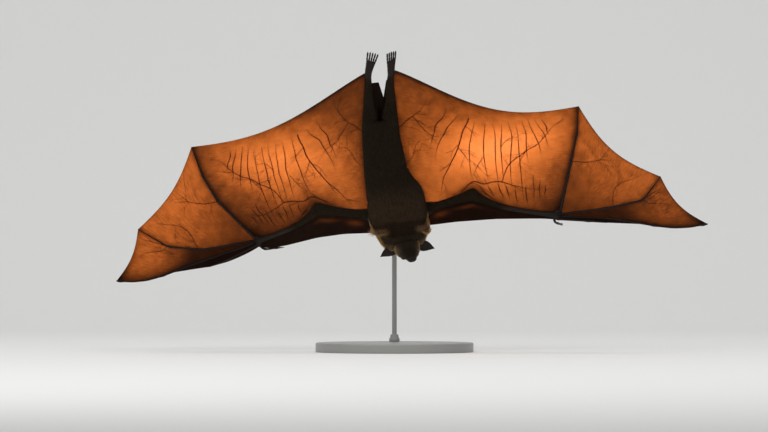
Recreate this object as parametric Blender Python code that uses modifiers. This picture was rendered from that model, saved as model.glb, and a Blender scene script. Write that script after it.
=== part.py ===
"""Flying fox bat as a still, life-size museum model on a plain display stand.

The bat is built in its own frame: +X to its right, +Y towards its head, +Z towards its
back, with the breastbone at the origin. One empty then turns it head down, belly to the
front, above the stand. The world origin is the middle of the base's underside, +Z up.
"""
import math

import bmesh
import bpy
import numpy as np
from mathutils import Matrix, Vector

MM = 0.001
GAP = 0.35 * MM                     # clearance between touching solids

# ---- driving dimensions: the animal -------------------------------------------------
UPPER_ARM = 118 * MM
FOREARM = 166 * MM
FOREARM_BOW = 9 * MM                # how far the forearm bends towards the leading edge
DIGIT_BONES = {                     # metacarpal and phalanges, from the wrist out
    2: (66 * MM, 37 * MM),
    3: (106 * MM, 87 * MM, 101 * MM),
    4: (101 * MM, 71 * MM, 66 * MM),
    5: (108 * MM, 57 * MM, 59 * MM),
}
METACARPAL_RADIUS = 1.9 * MM
THUMB_BONES = (12 * MM, 24 * MM, 15 * MM)
THUMB_RADIUS = 2.6 * MM
KNUCKLES = {                        # each digit's first joint, out and headwards of the wrist
    2: (4.9 * MM, 7.2 * MM),
    3: (8.6 * MM, 2.4 * MM),
    4: (9.5 * MM, -2.9 * MM),
    5: (6.6 * MM, -8.1 * MM),
}
MEMBRANE = 0.6 * MM
EYE_RADIUS = 5.8 * MM
EAR_LENGTH = 35 * MM
EAR_WIDTH = 20 * MM
EAR_THICKNESS = 1.4 * MM
TOE_RADIUS = 1.9 * MM

# ---- driving dimensions: the pose ---------------------------------------------------
# Each bone's turn: degrees towards the head from straight out, then towards the back.
SIDES = {"right": 1, "left": -1}
SHOULDER = {
    "right": (36 * MM, 1.5 * MM, 8 * MM),
    "left": (-40 * MM, 1.5 * MM, 6 * MM),
}
ARM_TURNS = {
    "right": ((-11.4, 22.3), (19.6, 7.2)),
    "left": ((-12.7, 11.0), (21.9, 38.3)),
}
DIGIT_TURNS = {
    "right": {
        2: ((9.8, -30.0), (10.8, -22.0)),
        3: ((7.8, -26.3), (15.7, -12.9), (3.8, -16.2)),
        4: ((-1.5, -33.4), (-6.5, -9.1), (-48.1, -33.4)),
        5: ((-72.3, -24.8), (-72.3, -9.0), (-82.8, -36.5)),
    },
    "left": {
        2: ((21.0, -17.5), (14.0, -20.0)),
        3: ((12.8, -15.0), (14.4, -3.0), (-0.2, -33.7)),
        4: ((4.4, -19.5), (-10.6, -6.8), (-36.3, -4.0)),
        5: ((-51.0, -23.0), (-65.0, -13.6), (-75.6, -4.7)),
    },
}
THUMB_TURNS = {
    "right": ((28.0, -45.0), (20.0, -75.0), (30.0, -85.0)),
    "left": ((150.0, -35.0), (181.0, -15.0), (178.0, 5.0)),
}
LEAN = math.radians(6)              # the whole bat's tilt in the plane of its wings
HEAD_NOD = math.radians(50)         # muzzle bent towards the chest
HEAD_TURN = math.radians(9)         # muzzle turned to the bat's right
EAR_MIDDLE = (8.2 * MM, 66 * MM, 0)   # half way between the ears
BREASTBONE = (8.5 * MM, -30 * MM, 264 * MM)

# ---- driving dimensions: the stand --------------------------------------------------
BASE_RADIUS = 150 * MM
BASE_HEIGHT = 18 * MM
ROD_RADIUS = 4.5 * MM
ROD_BACK = 78 * MM                  # from the middle of the base to the upright rod
ROD_BEND = 32 * MM
ROD_SEAT = (-5 * MM, -35 * MM)      # where the rod enters the back, across and headwards
ROD_DEPTH = 12 * MM                 # how far the rod goes into the back
COLLAR_RADIUS = 10 * MM
COLLAR_HEIGHT = 14 * MM

# ---- driving dimensions: body sections ----------------------------------------------
# Along the body: headward place, left side, right side, half depth, middle of the depth.
TRUNK_SECTIONS = (
    (30, -54.5, 57, 33, 3),
    (18, -58.5, 56, 37, 1),
    (0, -59.3, 53.5, 41, -1),
    (-25, -59.5, 51, 43, -2),
    (-42, -59.5, 42, 42, -2),
    (-60, -58.7, 32.5, 40, -1),
    (-76, -58, 26, 37, 0),
    (-102, -56.8, 22, 34, 1),
    (-130, -55.4, 18.5, 30.5, 2),
    (-152, -54, 17, 26.5, 3),
    (-168, -52.8, 17, 22, 4),
)
# Down each leg: headward place, outer side, half width, height above the middle.
LEG_SECTIONS = {
    "right": (
        (-168.6, 17, 16.2, 4),
        (-186, 17, 14.6, 10),
        (-197, 17, 12.8, 13),
        (-207, 17, 11.0, 15),
        (-222, 16.5, 9.4, 13),
        (-240, 16, 7.8, 7),
        (-258, 17.6, 6.4, 2),
        (-273.5, 21.0, 7.4, -2.2),
    ),
    "left": (
        (-168.6, -52.6, 16.2, 4),
        (-186, -50.4, 14.6, 10),
        (-197, -48.7, 12.8, 13),
        (-207, -47, 11.2, 15),
        (-222, -44.4, 9.6, 13),
        (-240, -41, 7.8, 7),
        (-258, -38.2, 6.4, 2),
        (-272.5, -36.4, 7.0, -2),
    ),
}
KNEE_SECTION = 3                    # the thigh ends and the shank starts at this section
ANKLE_FLATNESS = 0.78               # the ankle's depth as a share of its width
FOOT_HALF_WIDTHS = {"right": (7.4, 7.8, 8.8, 9.6), "left": (7.0, 7.9, 9.2, 10.0)}
FOOT_HALF_DEPTHS = (5.8, 4.8, 3.8, 3.0)
TOE_LINE = {                        # the middle of the toes' roots
    "right": (15.6 * MM, -289.5 * MM, -7 * MM),
    "left": (-22.5 * MM, -292 * MM, -7 * MM),
}
TOE_FAN = {"right": 0.02, "left": 0.06}
TOE_SPACING = {"right": 3.9 * MM, "left": 4.1 * MM}
TOE_SLANT = {"right": 0.38, "left": 0.0}   # how far each toe's root steps along the sole
CALCAR_TIP = {"right": (2.0, -253.0), "left": (-12.5, -250.5)}
CROTCH = (-6.3, -222.0)
RUMP_MIDDLE = -17.6                 # between the thighs, level with the second leg section
TRAILING_SCALLOP = {"right": 38 * MM, "left": 27 * MM}
HAND_SCALLOP = {"right": 0.115, "left": 0.08}   # of the free edges between the digits
LEADING_EDGE = {                    # out from the middle and headwards, along the front edge
    "right": ((60, 29), (106, 28), (182, 30.6), (240, 36), (300, 42)),
    "left": ((50, 32.5), (108, 28.6), (160, 29.8), (216, 35.5), (250, 36.5), (278, 37)),
}
ARM_START = 0.17                    # share of the upper arm inside the chest
JOINT_ROUNDING = 8 * MM
TIP_BOW = 5 * MM                    # how far the longest digit's last bone bends headwards
WRIST_FACE = 1.3 * MM               # from the forearm's end to the digits' roots
DIGIT_ROOTS = {2: 6.6 * MM, 3: 2.2 * MM, 4: -2.4 * MM, 5: -7.0 * MM}
THUMB_BEHIND_WRIST = 3 * MM
STRIP_END = 11                      # the third digit's point where the front strip ends

# Along the head from the ear line to the nose: place, half width, half height, rise.
HEAD_SECTIONS = (
    (-17.6, 25.0, 20.5, 1.5),
    (-10, 25.2, 21.5, 1.5),
    (0, 24.0, 20.2, 1.0),
    (10, 22.4, 17.6, -1.0),
    (17, 20.0, 15.6, -2.6),
    (24, 15.6, 13.4, -4.4),
    (31, 11.6, 11.2, -6.0),
    (38, 9.8, 9.4, -7.2),
    (44, 9.0, 8.2, -8.0),
    (48.5, 7.4, 6.4, -8.0),
    (51.0, 4.4, 3.8, -7.6),
)
EYE_SEAT = (20.5, 12.0, 2.6)        # ahead of the ears, out from the middle, up
EAR_SEAT = {"right": (-7.0, 23.5, 2.0), "left": (-9.0, 22.0, 0.0)}
EAR_REACH = {                       # which way each ear points: forward, out, up
    "right": (0.13, 0.85, 0.50),
    "left": (-0.02, 0.85, 0.53),
}

FUR_DARK = (0.040, 0.022, 0.013)
FUR_GOLD = (0.420, 0.235, 0.095)
SKIN_DARK = (0.030, 0.020, 0.017)
WING_BROWN = (0.260, 0.095, 0.035)
CLAW_HORN = (0.050, 0.038, 0.030)
EYE_BROWN = (0.110, 0.042, 0.014)
STAND_PAINT = (0.30, 0.30, 0.29)

UPPER_ARM_STATIONS = 6
FOREARM_STATIONS = 10
ARMPIT_SECTION = 3                  # the wing's main sheet starts at this trunk section


# ---- scene and helpers --------------------------------------------------------------
def new_collection(name):
    collection = bpy.data.collections.new(name)
    bpy.context.scene.collection.children.link(collection)
    return collection


for old in list(bpy.data.objects):
    bpy.data.objects.remove(old, do_unlink=True)
BAT = new_collection("flying_fox")
CUTTERS = new_collection("cutters")


def finish(name, colour, roughness, metallic=0.0):
    """A Principled material for one sub-part."""
    material = bpy.data.materials.new(name + "_finish")
    material.use_nodes = True
    shader = material.node_tree.nodes["Principled BSDF"]
    shader.inputs["Base Color"].default_value = (*colour, 1.0)
    shader.inputs["Roughness"].default_value = roughness
    shader.inputs["Metallic"].default_value = metallic
    return material


pose = bpy.data.objects.new("bat_pose", None)
BAT.objects.link(pose)
pose.location = BREASTBONE
pose.rotation_euler = Matrix((
    (math.cos(LEAN), math.sin(LEAN), 0),
    (0, 0, 1),
    (math.sin(LEAN), -math.cos(LEAN), 0),
)).to_euler()


def place(name, data, colour, roughness, parent=pose):
    """Put a mesh or curve into the model as one named sub-part."""
    part = bpy.data.objects.new(name, data)
    BAT.objects.link(part)
    part.parent = parent
    data.materials.append(finish(name, colour, roughness))
    return part


def smooth(mesh):
    mesh.shade_smooth()
    mesh.set_sharp_from_angle(angle=math.radians(50))
    return mesh


def loft(name, rings):
    """A closed mesh through rings of equal count, with flat ends."""
    rings = np.asarray(rings)
    count, sides = rings.shape[:2]
    here = np.arange(count * sides).reshape(count, sides)
    after = np.roll(here, -1, axis=1)
    walls = np.stack((here[:-1], after[:-1], after[1:], here[1:]), axis=-1)
    faces = walls.reshape(-1, 4).tolist()
    faces.append(here[0][::-1].tolist())
    faces.append(here[-1].tolist())
    mesh = bpy.data.meshes.new(name)
    mesh.from_pydata(rings.reshape(-1, 3).tolist(), [], faces)
    return outward(mesh)


def outward(mesh):
    """Turn a closed mesh's faces to point out."""
    shape = bmesh.new()
    shape.from_mesh(mesh)
    bmesh.ops.recalc_face_normals(shape, faces=shape.faces)
    shape.to_mesh(mesh)
    shape.free()
    return smooth(mesh)


def section(middle, across, up, half_width, half_height, sides=16, square=2.2):
    """One superellipse ring around a point; square 2 is a plain ellipse."""
    turn = np.linspace(0, 2 * math.pi, sides, endpoint=False)
    power = 2 / square
    side = np.sign(np.cos(turn)) * np.abs(np.cos(turn)) ** power * half_width
    rise = np.sign(np.sin(turn)) * np.abs(np.sin(turn)) ** power * half_height
    return (np.asarray(middle) + side[:, None] * np.asarray(across)
            + rise[:, None] * np.asarray(up))


def unit(vectors):
    vectors = np.asarray(vectors, dtype=float)
    return vectors / np.linalg.norm(vectors, axis=-1, keepdims=True)


def bone(side, length, turns):
    """The vector of a bone from its length and its two turns in degrees."""
    sweep, lift = (math.radians(turn) for turn in turns)
    out = math.cos(lift) * math.cos(sweep) * SIDES[side]
    return length * np.array((out, math.cos(lift) * math.sin(sweep), math.sin(lift)))


def rounded_path(corners, rounding):
    """Straight stretches with two points inside each, joined by three-point curves."""
    corners = [np.asarray(corner, dtype=float) for corner in corners]
    points = [corners[0]]
    leaving = corners[0]
    for before, corner, after in zip(corners, corners[1:], corners[2:]):
        reach = min(rounding, np.linalg.norm(corner - before) / 2.2,
                    np.linalg.norm(after - corner) / 2.2)
        start = corner + unit(before - corner) * reach
        end = corner + unit(after - corner) * reach
        if len(points) > 1:
            points += [leaving + (start - leaving) * share for share in (1 / 3, 2 / 3)]
        points += [start, 0.25 * start + 0.5 * corner + 0.25 * end, end]
        leaving = end
    points += [leaving + (corners[-1] - leaving) * share for share in (1 / 3, 2 / 3, 1)]
    return np.array(points)


def distances(points):
    """How far along a polyline each of its points lies, as a share of the whole."""
    lengths = np.linalg.norm(np.diff(points, axis=0), axis=1)
    travelled = np.concatenate(((0,), np.cumsum(lengths)))
    return travelled / travelled[-1]


def resample(points, count):
    """Points at even distances along a polyline."""
    share = distances(points)
    even = np.linspace(0, 1, count)
    return np.stack([np.interp(even, share, points[:, axis]) for axis in range(3)], axis=1)


def tangents(path):
    return unit(np.gradient(path, axis=0))


def tube(name, path, radii, colour, roughness, sides=6, parent=pose):
    """A round bar along a path with a radius at each point and filled ends."""
    curve = bpy.data.curves.new(name, "CURVE")
    curve.dimensions = "3D"
    curve.use_fill_caps = True
    curve.bevel_depth = max(radii)
    curve.bevel_resolution = (sides - 4) // 2
    spline = curve.splines.new("POLY")
    spline.points.add(len(path) - 1)
    for point, place_at, radius in zip(spline.points, path, radii):
        point.co = (*place_at, 1)
        point.radius = radius / curve.bevel_depth
    return place(name, curve, colour, roughness, parent)


def sheet(name, grid, colour):
    """A membrane: a grid of points given its thickness with Solidify."""
    grid = np.asarray(grid)
    rows, columns = grid.shape[:2]
    index = np.arange(rows * columns).reshape(rows, columns)
    quads = np.stack((index[:-1, :-1], index[1:, :-1], index[1:, 1:], index[:-1, 1:]),
                     axis=-1)
    mesh = bpy.data.meshes.new(name)
    mesh.from_pydata(grid.reshape(-1, 3).tolist(), [], quads.reshape(-1, 4).tolist())
    part = place(name, mesh, colour, 0.55)
    shell = part.modifiers.new("thickness", "SOLIDIFY")
    shell.thickness = MEMBRANE
    shell.offset = 0
    return part


def patch(first, last, start, end, billow):
    """A sheet between four edges, blown towards the back by billow at its middle.

    first and last are the opposite edges that run along u; start joins their first
    points and end joins their last points, running along v.
    """
    first, last, start, end = (np.asarray(edge) for edge in (first, last, start, end))
    u = np.linspace(0, 1, len(first))[:, None, None]
    v = np.linspace(0, 1, len(start))[None, :, None]
    ruled_u = (1 - v) * first[:, None] + v * last[:, None]
    ruled_v = (1 - u) * start[None] + u * end[None]
    corners = ((1 - u) * (1 - v) * first[0] + u * (1 - v) * first[-1]
               + (1 - u) * v * last[0] + u * v * last[-1])
    swell = billow * np.sin(math.pi * u) * np.sin(math.pi * v)
    return ruled_u + ruled_v - corners + swell * np.array((0, 0, 1))


def scalloped(start, end, depth, towards, count, skew=1.0):
    """A free edge: a chord drawn in towards a point by depth at its middle."""
    start, end = np.asarray(start), np.asarray(end)
    share = np.linspace(0, 1, count)[:, None]
    chord = end - start
    pull = np.asarray(towards) - (start + end) / 2
    pull = pull - unit(chord) * np.dot(pull, unit(chord))
    return start + share * chord + depth * np.sin(math.pi * share ** skew) * unit(pull)


def cutter(name, mesh):
    tool = bpy.data.objects.new(name, mesh)
    CUTTERS.objects.link(tool)
    tool.parent = pose
    tool.hide_render = True
    tool.display_type = "WIRE"
    return tool


def cut(part, tool):
    boolean = part.modifiers.new("cut_" + tool.name, "BOOLEAN")
    boolean.operation = "DIFFERENCE"
    boolean.solver = "EXACT"
    boolean.object = tool


# ---- trunk, neck and legs -----------------------------------------------------------
ACROSS = np.array((1.0, 0.0, 0.0))
HEADWARD = np.array((0.0, 1.0, 0.0))
BACKWARD = np.array((0.0, 0.0, 1.0))


def trunk_rings():
    rings = []
    for y, left, right, depth, rise in TRUNK_SECTIONS:
        middle = ((left + right) / 2 * MM, y * MM, rise * MM)
        rings.append(section(middle, ACROSS, BACKWARD, (right - left) / 2 * MM, depth * MM))
    return rings


def leg_rings(side, first, last, ahead=0.0, behind=0.0):
    """Rings of one leg, with its first and last moved in from the cut by a gap."""
    rings = []
    chosen = LEG_SECTIONS[side][first:last + 1]
    for number, (y, outer, half, rise) in enumerate(chosen):
        middle = np.array(((outer - SIDES[side] * half), y, rise)) * MM
        if number == 0:
            middle[1] -= ahead
        if number == len(chosen) - 1:
            middle[1] += behind
        deep = half * (1.0 if first else 1.25 - 0.08 * number)
        if (y, outer, half, rise) == LEG_SECTIONS[side][-1]:
            deep = half * ANKLE_FLATNESS
        rings.append(section(middle, ACROSS, BACKWARD, half * MM, deep * MM, sides=12))
    return rings


place("trunk", loft("trunk", trunk_rings()), FUR_DARK, 0.85)
last_section = len(LEG_SECTIONS["right"]) - 1
for side in SIDES:
    thigh = loft("thigh_" + side, leg_rings(side, 0, KNEE_SECTION, behind=GAP / 2))
    place("thigh_" + side, thigh, FUR_DARK, 0.85)
    shank = loft("shank_" + side, leg_rings(side, KNEE_SECTION, last_section, ahead=GAP / 2))
    place("shank_" + side, shank, FUR_DARK, 0.8)

# ---- head ---------------------------------------------------------------------------
MUZZLE = np.array((math.sin(HEAD_TURN), math.cos(HEAD_TURN) * math.cos(HEAD_NOD),
                   -math.cos(HEAD_TURN) * math.sin(HEAD_NOD)))
CROWN = np.array((0.0, math.sin(HEAD_NOD), math.cos(HEAD_NOD)))
HEAD_RIGHT = np.cross(MUZZLE, CROWN)


def on_head(forward, out, up):
    """A place in millimetres from the middle of the ear line, in the head's own axes."""
    return (np.array(EAR_MIDDLE) + forward * MM * MUZZLE + out * MM * HEAD_RIGHT
            + up * MM * CROWN)


def head_rings(extra=0.0):
    rings = []
    for forward, half_width, half_height, rise in HEAD_SECTIONS:
        rings.append(section(on_head(forward, 0, rise), HEAD_RIGHT, CROWN,
                             half_width * MM + extra, half_height * MM + extra, sides=18))
    return rings


def neck_rings():
    """The neck turns from the chest's section to the back of the head."""
    y, left, right, depth, rise = TRUNK_SECTIONS[0]
    chest = np.array(((left + right) / 2, y, rise)) * MM + GAP * HEADWARD
    forward, half_width, half_height, lift = HEAD_SECTIONS[0]
    nape = on_head(forward, 0, lift) - GAP * MUZZLE
    widths = ((right - left) / 2, 47.0, 42.5, 36.0)
    depths = (depth, 31.5, 29.0, 25.0)
    rings = []
    for number, (wide, deep) in enumerate(zip(widths, depths)):
        share = number / (len(widths) - 1)
        along = unit((1 - share) * HEADWARD + share * MUZZLE)
        across = unit((1 - share) * ACROSS + share * HEAD_RIGHT)
        across = unit(across - along * np.dot(across, along))
        rings.append(section((1 - share) * chest + share * nape, across,
                             np.cross(across, along), wide * MM, deep * MM))
    return rings


place("neck", loft("neck", neck_rings()), FUR_GOLD, 0.85)
head = place("head", loft("head", head_rings()), FUR_DARK, 0.8)
head_clearance = cutter("head_clearance", loft("head_clearance", head_rings(GAP)))


def ball(name, middle, radius):
    mesh = bpy.data.meshes.new(name)
    shape = bmesh.new()
    bmesh.ops.create_uvsphere(shape, u_segments=12, v_segments=8, radius=radius)
    bmesh.ops.translate(shape, verts=shape.verts, vec=Vector(middle))
    shape.to_mesh(mesh)
    shape.free()
    return smooth(mesh)


def ear_grid(side):
    """The pinna: a pointed leaf, curled across its width into a shallow scoop."""
    out = SIDES[side] * HEAD_RIGHT
    forward, sideways, up = EAR_REACH[side]
    reach = unit(forward * MUZZLE + sideways * out + up * CROWN)
    opening = unit(MUZZLE + 0.55 * out - reach * np.dot(MUZZLE + 0.55 * out, reach))
    broad = np.cross(opening, reach)
    forward, sideways, up = EAR_SEAT[side]
    root = on_head(forward, SIDES[side] * sideways, up)
    u = np.linspace(0, 1, 8)[:, None]
    v = np.linspace(-1, 1, 5)[None, :]
    half = EAR_WIDTH / 2 * (1 - u ** 2.2) ** 0.8 * (0.82 + 0.36 * np.sin(math.pi * u ** 0.8))
    curl = 1.25 * (1 - 0.55 * u)
    sideways = half * np.sin(v * curl) / np.sin(curl)
    scoop = half * (1 - np.cos(v * curl)) * 0.9
    length = EAR_LENGTH * u * (1 - 0.04 * v ** 2)
    tip_half = 0.8 * MM * v
    sideways = np.where(u > 0.99, tip_half, sideways)
    return (root + length[..., None] * reach + sideways[..., None] * broad
            + scoop[..., None] * opening)


for side, sign in SIDES.items():
    seat = on_head(EYE_SEAT[0], sign * EYE_SEAT[1], EYE_SEAT[2])
    place("eye_" + side, ball("eye_" + side, seat, EYE_RADIUS), EYE_BROWN, 0.08)
    socket = cutter("eye_socket_" + side, ball("eye_socket", seat, EYE_RADIUS + GAP))
    cut(head, socket)
    ear = sheet("ear_" + side, ear_grid(side), SKIN_DARK)
    ear.modifiers["thickness"].thickness = EAR_THICKNESS
    cut(ear, head_clearance)

# ---- arms ---------------------------------------------------------------------------
def arm_corners(side):
    shoulder = np.array(SHOULDER[side])
    elbow = shoulder + bone(side, UPPER_ARM, ARM_TURNS[side][0])
    wrist = elbow + bone(side, FOREARM, ARM_TURNS[side][1])
    return shoulder, elbow, wrist


def arm_path(side):
    """The arm's middle line from the chest to the wrist, with the forearm's bow."""
    shoulder, elbow, wrist = arm_corners(side)
    share = np.linspace(ARM_START, 1, UPPER_ARM_STATIONS)[:, None]
    upper = shoulder + share * (elbow - shoulder)
    share = np.linspace(0, 1, FOREARM_STATIONS)[1:, None]
    bow = FOREARM_BOW * np.sin(math.pi * share ** 0.75)
    return np.concatenate((upper, elbow + share * (wrist - elbow) + bow * HEADWARD))


def arm_half_widths():
    """Half the arm's width: broad at the chest, lean, the elbow, lean, the wrist."""
    upper = np.linspace(0, 1, UPPER_ARM_STATIONS)
    lower = np.linspace(0, 1, FOREARM_STATIONS)[1:]
    upper_half = 7.4 + 13.0 * np.exp(-upper * 6.5) + 5.6 * upper ** 4
    lower_half = 5.2 + 7.8 * np.exp(-lower * 8.0) + 2.8 * lower ** 12
    return np.concatenate((upper_half, lower_half)) * MM


def footward(path):
    """Unit vectors across a path, towards the feet, in the plane of the wing."""
    along = tangents(path)
    return unit(along * (along @ HEADWARD)[:, None] - HEADWARD)


def outward_of(path, side):
    """Unit vectors across a path, away from the body, in the plane of the wing."""
    along = tangents(path)
    away = SIDES[side] * ACROSS
    return unit(away - along * (along @ away)[:, None])


def arm_rings(path, half_widths):
    across = footward(path)
    up = unit(np.cross(across, tangents(path)))
    flatness = np.linspace(0.92, 0.68, len(path))
    return [section(middle, side, rise, wide, wide * flat, sides=12, square=2.0)
            for middle, side, rise, wide, flat in zip(path, across, up, half_widths, flatness)]


def digit_path(side, number):
    """From the wrist's face through the knuckle and each joint to the tip."""
    arm = arm_path(side)
    axis = tangents(arm)[-1]
    sideways = unit(HEADWARD - axis * np.dot(axis, HEADWARD))
    out, ahead = KNUCKLES[number]
    knuckle = arm[-1] + axis * out + sideways * ahead
    start = arm[-1] + axis * WRIST_FACE + sideways * DIGIT_ROOTS[number]
    corners = [start, knuckle]
    for length, turns in zip(DIGIT_BONES[number], DIGIT_TURNS[side][number]):
        corners.append(corners[-1] + bone(side, length, turns))
    path = rounded_path(corners, JOINT_ROUNDING)
    if number == 3:
        path[-3:-1] += TIP_BOW * HEADWARD
    return path


def digit_radii(number, path):
    """Thin towards the tip, with a small swelling at each joint."""
    share = distances(path)
    bones = np.array(DIGIT_BONES[number])
    joints = np.cumsum(bones)[:-1] / bones.sum()
    radius = 1 - 0.40 * share - 0.30 * share ** 6
    for joint in joints:
        radius = radius + 0.28 * np.exp(-((share - joint) / 0.03) ** 2)
    return METACARPAL_RADIUS * radius


def beside(path, radii, across):
    """The line on a membrane's edge beside a bone, on the side that across points to."""
    return path + across * (radii + GAP)[:, None]


def flank_line(side):
    """The body's side where the wing joins it, from the armpit to the ankle."""
    points = []
    for y, left, right, _, rise in TRUNK_SECTIONS[ARMPIT_SECTION:]:
        edge = right if side == "right" else left
        points.append((edge * MM + SIDES[side] * GAP, y * MM, rise * MM))
    for y, outer, _, rise in LEG_SECTIONS[side][1:]:
        points.append((outer * MM + SIDES[side] * GAP, y * MM, rise * MM))
    return np.array(points)


def build_arm(side):
    """Upper arm and forearm on one path, parted at the elbow."""
    path = arm_path(side)
    half_widths = arm_half_widths()
    rings = arm_rings(path, half_widths)
    elbow = UPPER_ARM_STATIONS - 1
    parting = tangents(path)[elbow] * GAP / 2
    upper = rings[:elbow] + [rings[elbow] - parting]
    lower = [rings[elbow] + parting] + rings[elbow + 1:]
    arm = place("upper_arm_" + side, loft("upper_arm_" + side, upper), FUR_DARK, 0.8)
    cut(arm, trunk_clearance)
    place("forearm_" + side, loft("forearm_" + side, lower), SKIN_DARK, 0.7)
    return path, half_widths


def build_thumb(side, wrist, axis, half_width):
    ahead = unit(HEADWARD - axis * np.dot(axis, HEADWARD))
    root = wrist - axis * THUMB_BEHIND_WRIST + ahead * (half_width + GAP)
    corners = [root, root + ahead * 2 * THUMB_RADIUS]
    for length, turns in zip(THUMB_BONES, THUMB_TURNS[side]):
        corners.append(corners[-1] + bone(side, length, turns))
    path = resample(rounded_path(corners, JOINT_ROUNDING), 14)
    share = distances(path)
    radii = THUMB_RADIUS * (1 - 0.35 * share - 0.55 * share ** 5)
    tube("thumb_" + side, path, radii, SKIN_DARK, 0.6)


def build_wing(side):
    arm, half_widths = build_arm(side)
    wrist = arm[-1]
    build_thumb(side, wrist, tangents(arm)[-1], half_widths[-1])
    digits = {}
    for number in DIGIT_BONES:
        path = digit_path(side, number)
        radii = digit_radii(number, path)
        digits[number] = (path, radii)
        tube(f"digit_{number}_{side}", path, radii, SKIN_DARK, 0.6)
    after_knuckle = 3               # the first point of a digit past its knuckle's curve

    # The main sheet: arm, fifth digit, free trailing edge, body.
    flank = flank_line(side)
    arm_edge = np.concatenate((flank[:1], beside(arm, half_widths, footward(arm))[1:]))
    fifth, fifth_radii = digits[5]
    inner = beside(fifth, fifth_radii, -outward_of(fifth, side))[after_knuckle:]
    inner = np.concatenate((arm_edge[-1:], inner))
    trailing = scalloped(flank[-1], inner[-1], TRAILING_SCALLOP[side],
                         arm_edge[UPPER_ARM_STATIONS], len(arm_edge), skew=1.22)
    sheet("plagiopatagium_" + side, patch(arm_edge, trailing, flank, inner, 20 * MM),
          WING_BROWN)

    # The two sheets between the fifth, fourth and third digits.
    fourth, fourth_radii = digits[4]
    third, third_radii = digits[3]
    pairs = (
        ("5_4", beside(fifth, fifth_radii, outward_of(fifth, side)),
         beside(fourth, fourth_radii, footward(fourth)), 9 * MM),
        ("4_3", beside(fourth, fourth_radii, -footward(fourth)),
         beside(third, third_radii, footward(third)), 6 * MM),
    )
    for digits_between, near, far, billow in pairs:
        near = near[after_knuckle:]
        far = far[after_knuckle:]
        root = np.linspace(near[0], far[0], 5)
        chord = np.linalg.norm(far[-1] - near[-1])
        free = scalloped(near[-1], far[-1], HAND_SCALLOP[side] * chord, wrist, 5)
        sheet(f"dactylopatagium_{digits_between}_{side}",
              patch(near, far, root, free, billow), WING_BROWN)

    # The narrow sheet along the leading edge, between the third and second digits.
    # Past the second digit's tip it narrows to nothing along the third.
    second, second_radii = digits[2]
    front_side = -footward(third)
    near = beside(third, third_radii, front_side)[after_knuckle:STRIP_END]
    far = beside(second, second_radii + GAP, footward(second))[after_knuckle:-1]
    far = np.concatenate((far, [second[-1] + unit(second[-1] - second[-2]) * 1.5 * MM],
                          [near[-1] + front_side[STRIP_END] * MEMBRANE * 2]))
    far = resample(far, len(near))
    sheet("dactylopatagium_3_2_" + side, np.linspace(near, far, 3, axis=1), SKIN_DARK)

    # The sheet ahead of the arm, from the shoulder to the wrist.
    behind = beside(arm, half_widths, -footward(arm))
    behind = np.concatenate((behind[:-1], [(behind[-2] + behind[-1]) / 2]))
    out, ahead = np.array(LEADING_EDGE[side]).T * MM
    front = behind.copy()
    front[:, 1] = np.interp(np.abs(front[:, 0]), out, ahead)
    share = distances(behind)
    taut = (1 - share) * behind[0, 2] + share * behind[-1, 2]
    front[:, 2] = 0.6 * taut + 0.4 * behind[:, 2] + 6 * MM * np.sin(math.pi * share)
    sheet("propatagium_" + side, np.linspace(behind, front, 4, axis=1), SKIN_DARK)


grown = [(y, left - 0.35, right + 0.35, depth + 0.35, rise)
         for y, left, right, depth, rise in TRUNK_SECTIONS]
trunk_clearance = cutter("trunk_clearance", loft("trunk_clearance", [
    section(((left + right) / 2 * MM, y * MM, rise * MM), ACROSS, BACKWARD,
            (right - left) / 2 * MM, depth * MM)
    for y, left, right, depth, rise in grown]))
for side in SIDES:
    build_wing(side)


# ---- feet and the skin between the legs ---------------------------------------------
def build_foot(side):
    sign = SIDES[side]
    y, outer, half, rise = LEG_SECTIONS[side][-1]
    ankle = np.array((outer - sign * half, y, rise)) * MM
    toes = np.array(TOE_LINE[side])
    along = unit(toes - ankle)
    across = unit(ACROSS - along * np.dot(along, ACROSS))
    sole = np.cross(across, along)
    slanted = unit(across + along * TOE_SLANT[side])
    start = ankle - HEADWARD * GAP
    shares = (0.0, 0.35, 0.75, 1.0)
    rings = []
    for share, wide, deep in zip(shares, FOOT_HALF_WIDTHS[side], FOOT_HALF_DEPTHS):
        middle = (1 - share) * start + share * toes
        turned = unit((1 - share) * ACROSS + share * slanted)
        lifted = BACKWARD if share == 0 else -sole
        rings.append(section(middle, turned, lifted, wide * MM, deep * MM, sides=12))
    place("foot_" + side, loft("foot_" + side, rings), SKIN_DARK, 0.7)
    belly = -BACKWARD
    for number in range(5):
        fan = (number - 2) * TOE_FAN[side]
        root = toes + slanted * (number - 2) * TOE_SPACING[side]
        root = root + along * (GAP * 1.5 + TOE_RADIUS * TOE_SLANT[side])
        heading = unit(along + across * fan)
        knuckle = root + heading * (8.2 - 0.5 * abs(number - 2)) * MM + BACKWARD * 1.6 * MM
        pad = knuckle + heading * 6.2 * MM + belly * 4.0 * MM
        hook = pad + heading * 1.8 * MM + belly * 6.2 * MM
        point = hook + belly * 3 * MM - heading * 2 * MM
        path = resample(rounded_path([root, knuckle, pad, hook, point], 4 * MM), 9)
        share = distances(path)
        radii = TOE_RADIUS * np.clip(0.80 - 0.12 * share - 0.60 * share ** 4, 0.1, 1)
        tube(f"toe_{number + 1}_{side}", path, radii, CLAW_HORN, 0.5)


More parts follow.
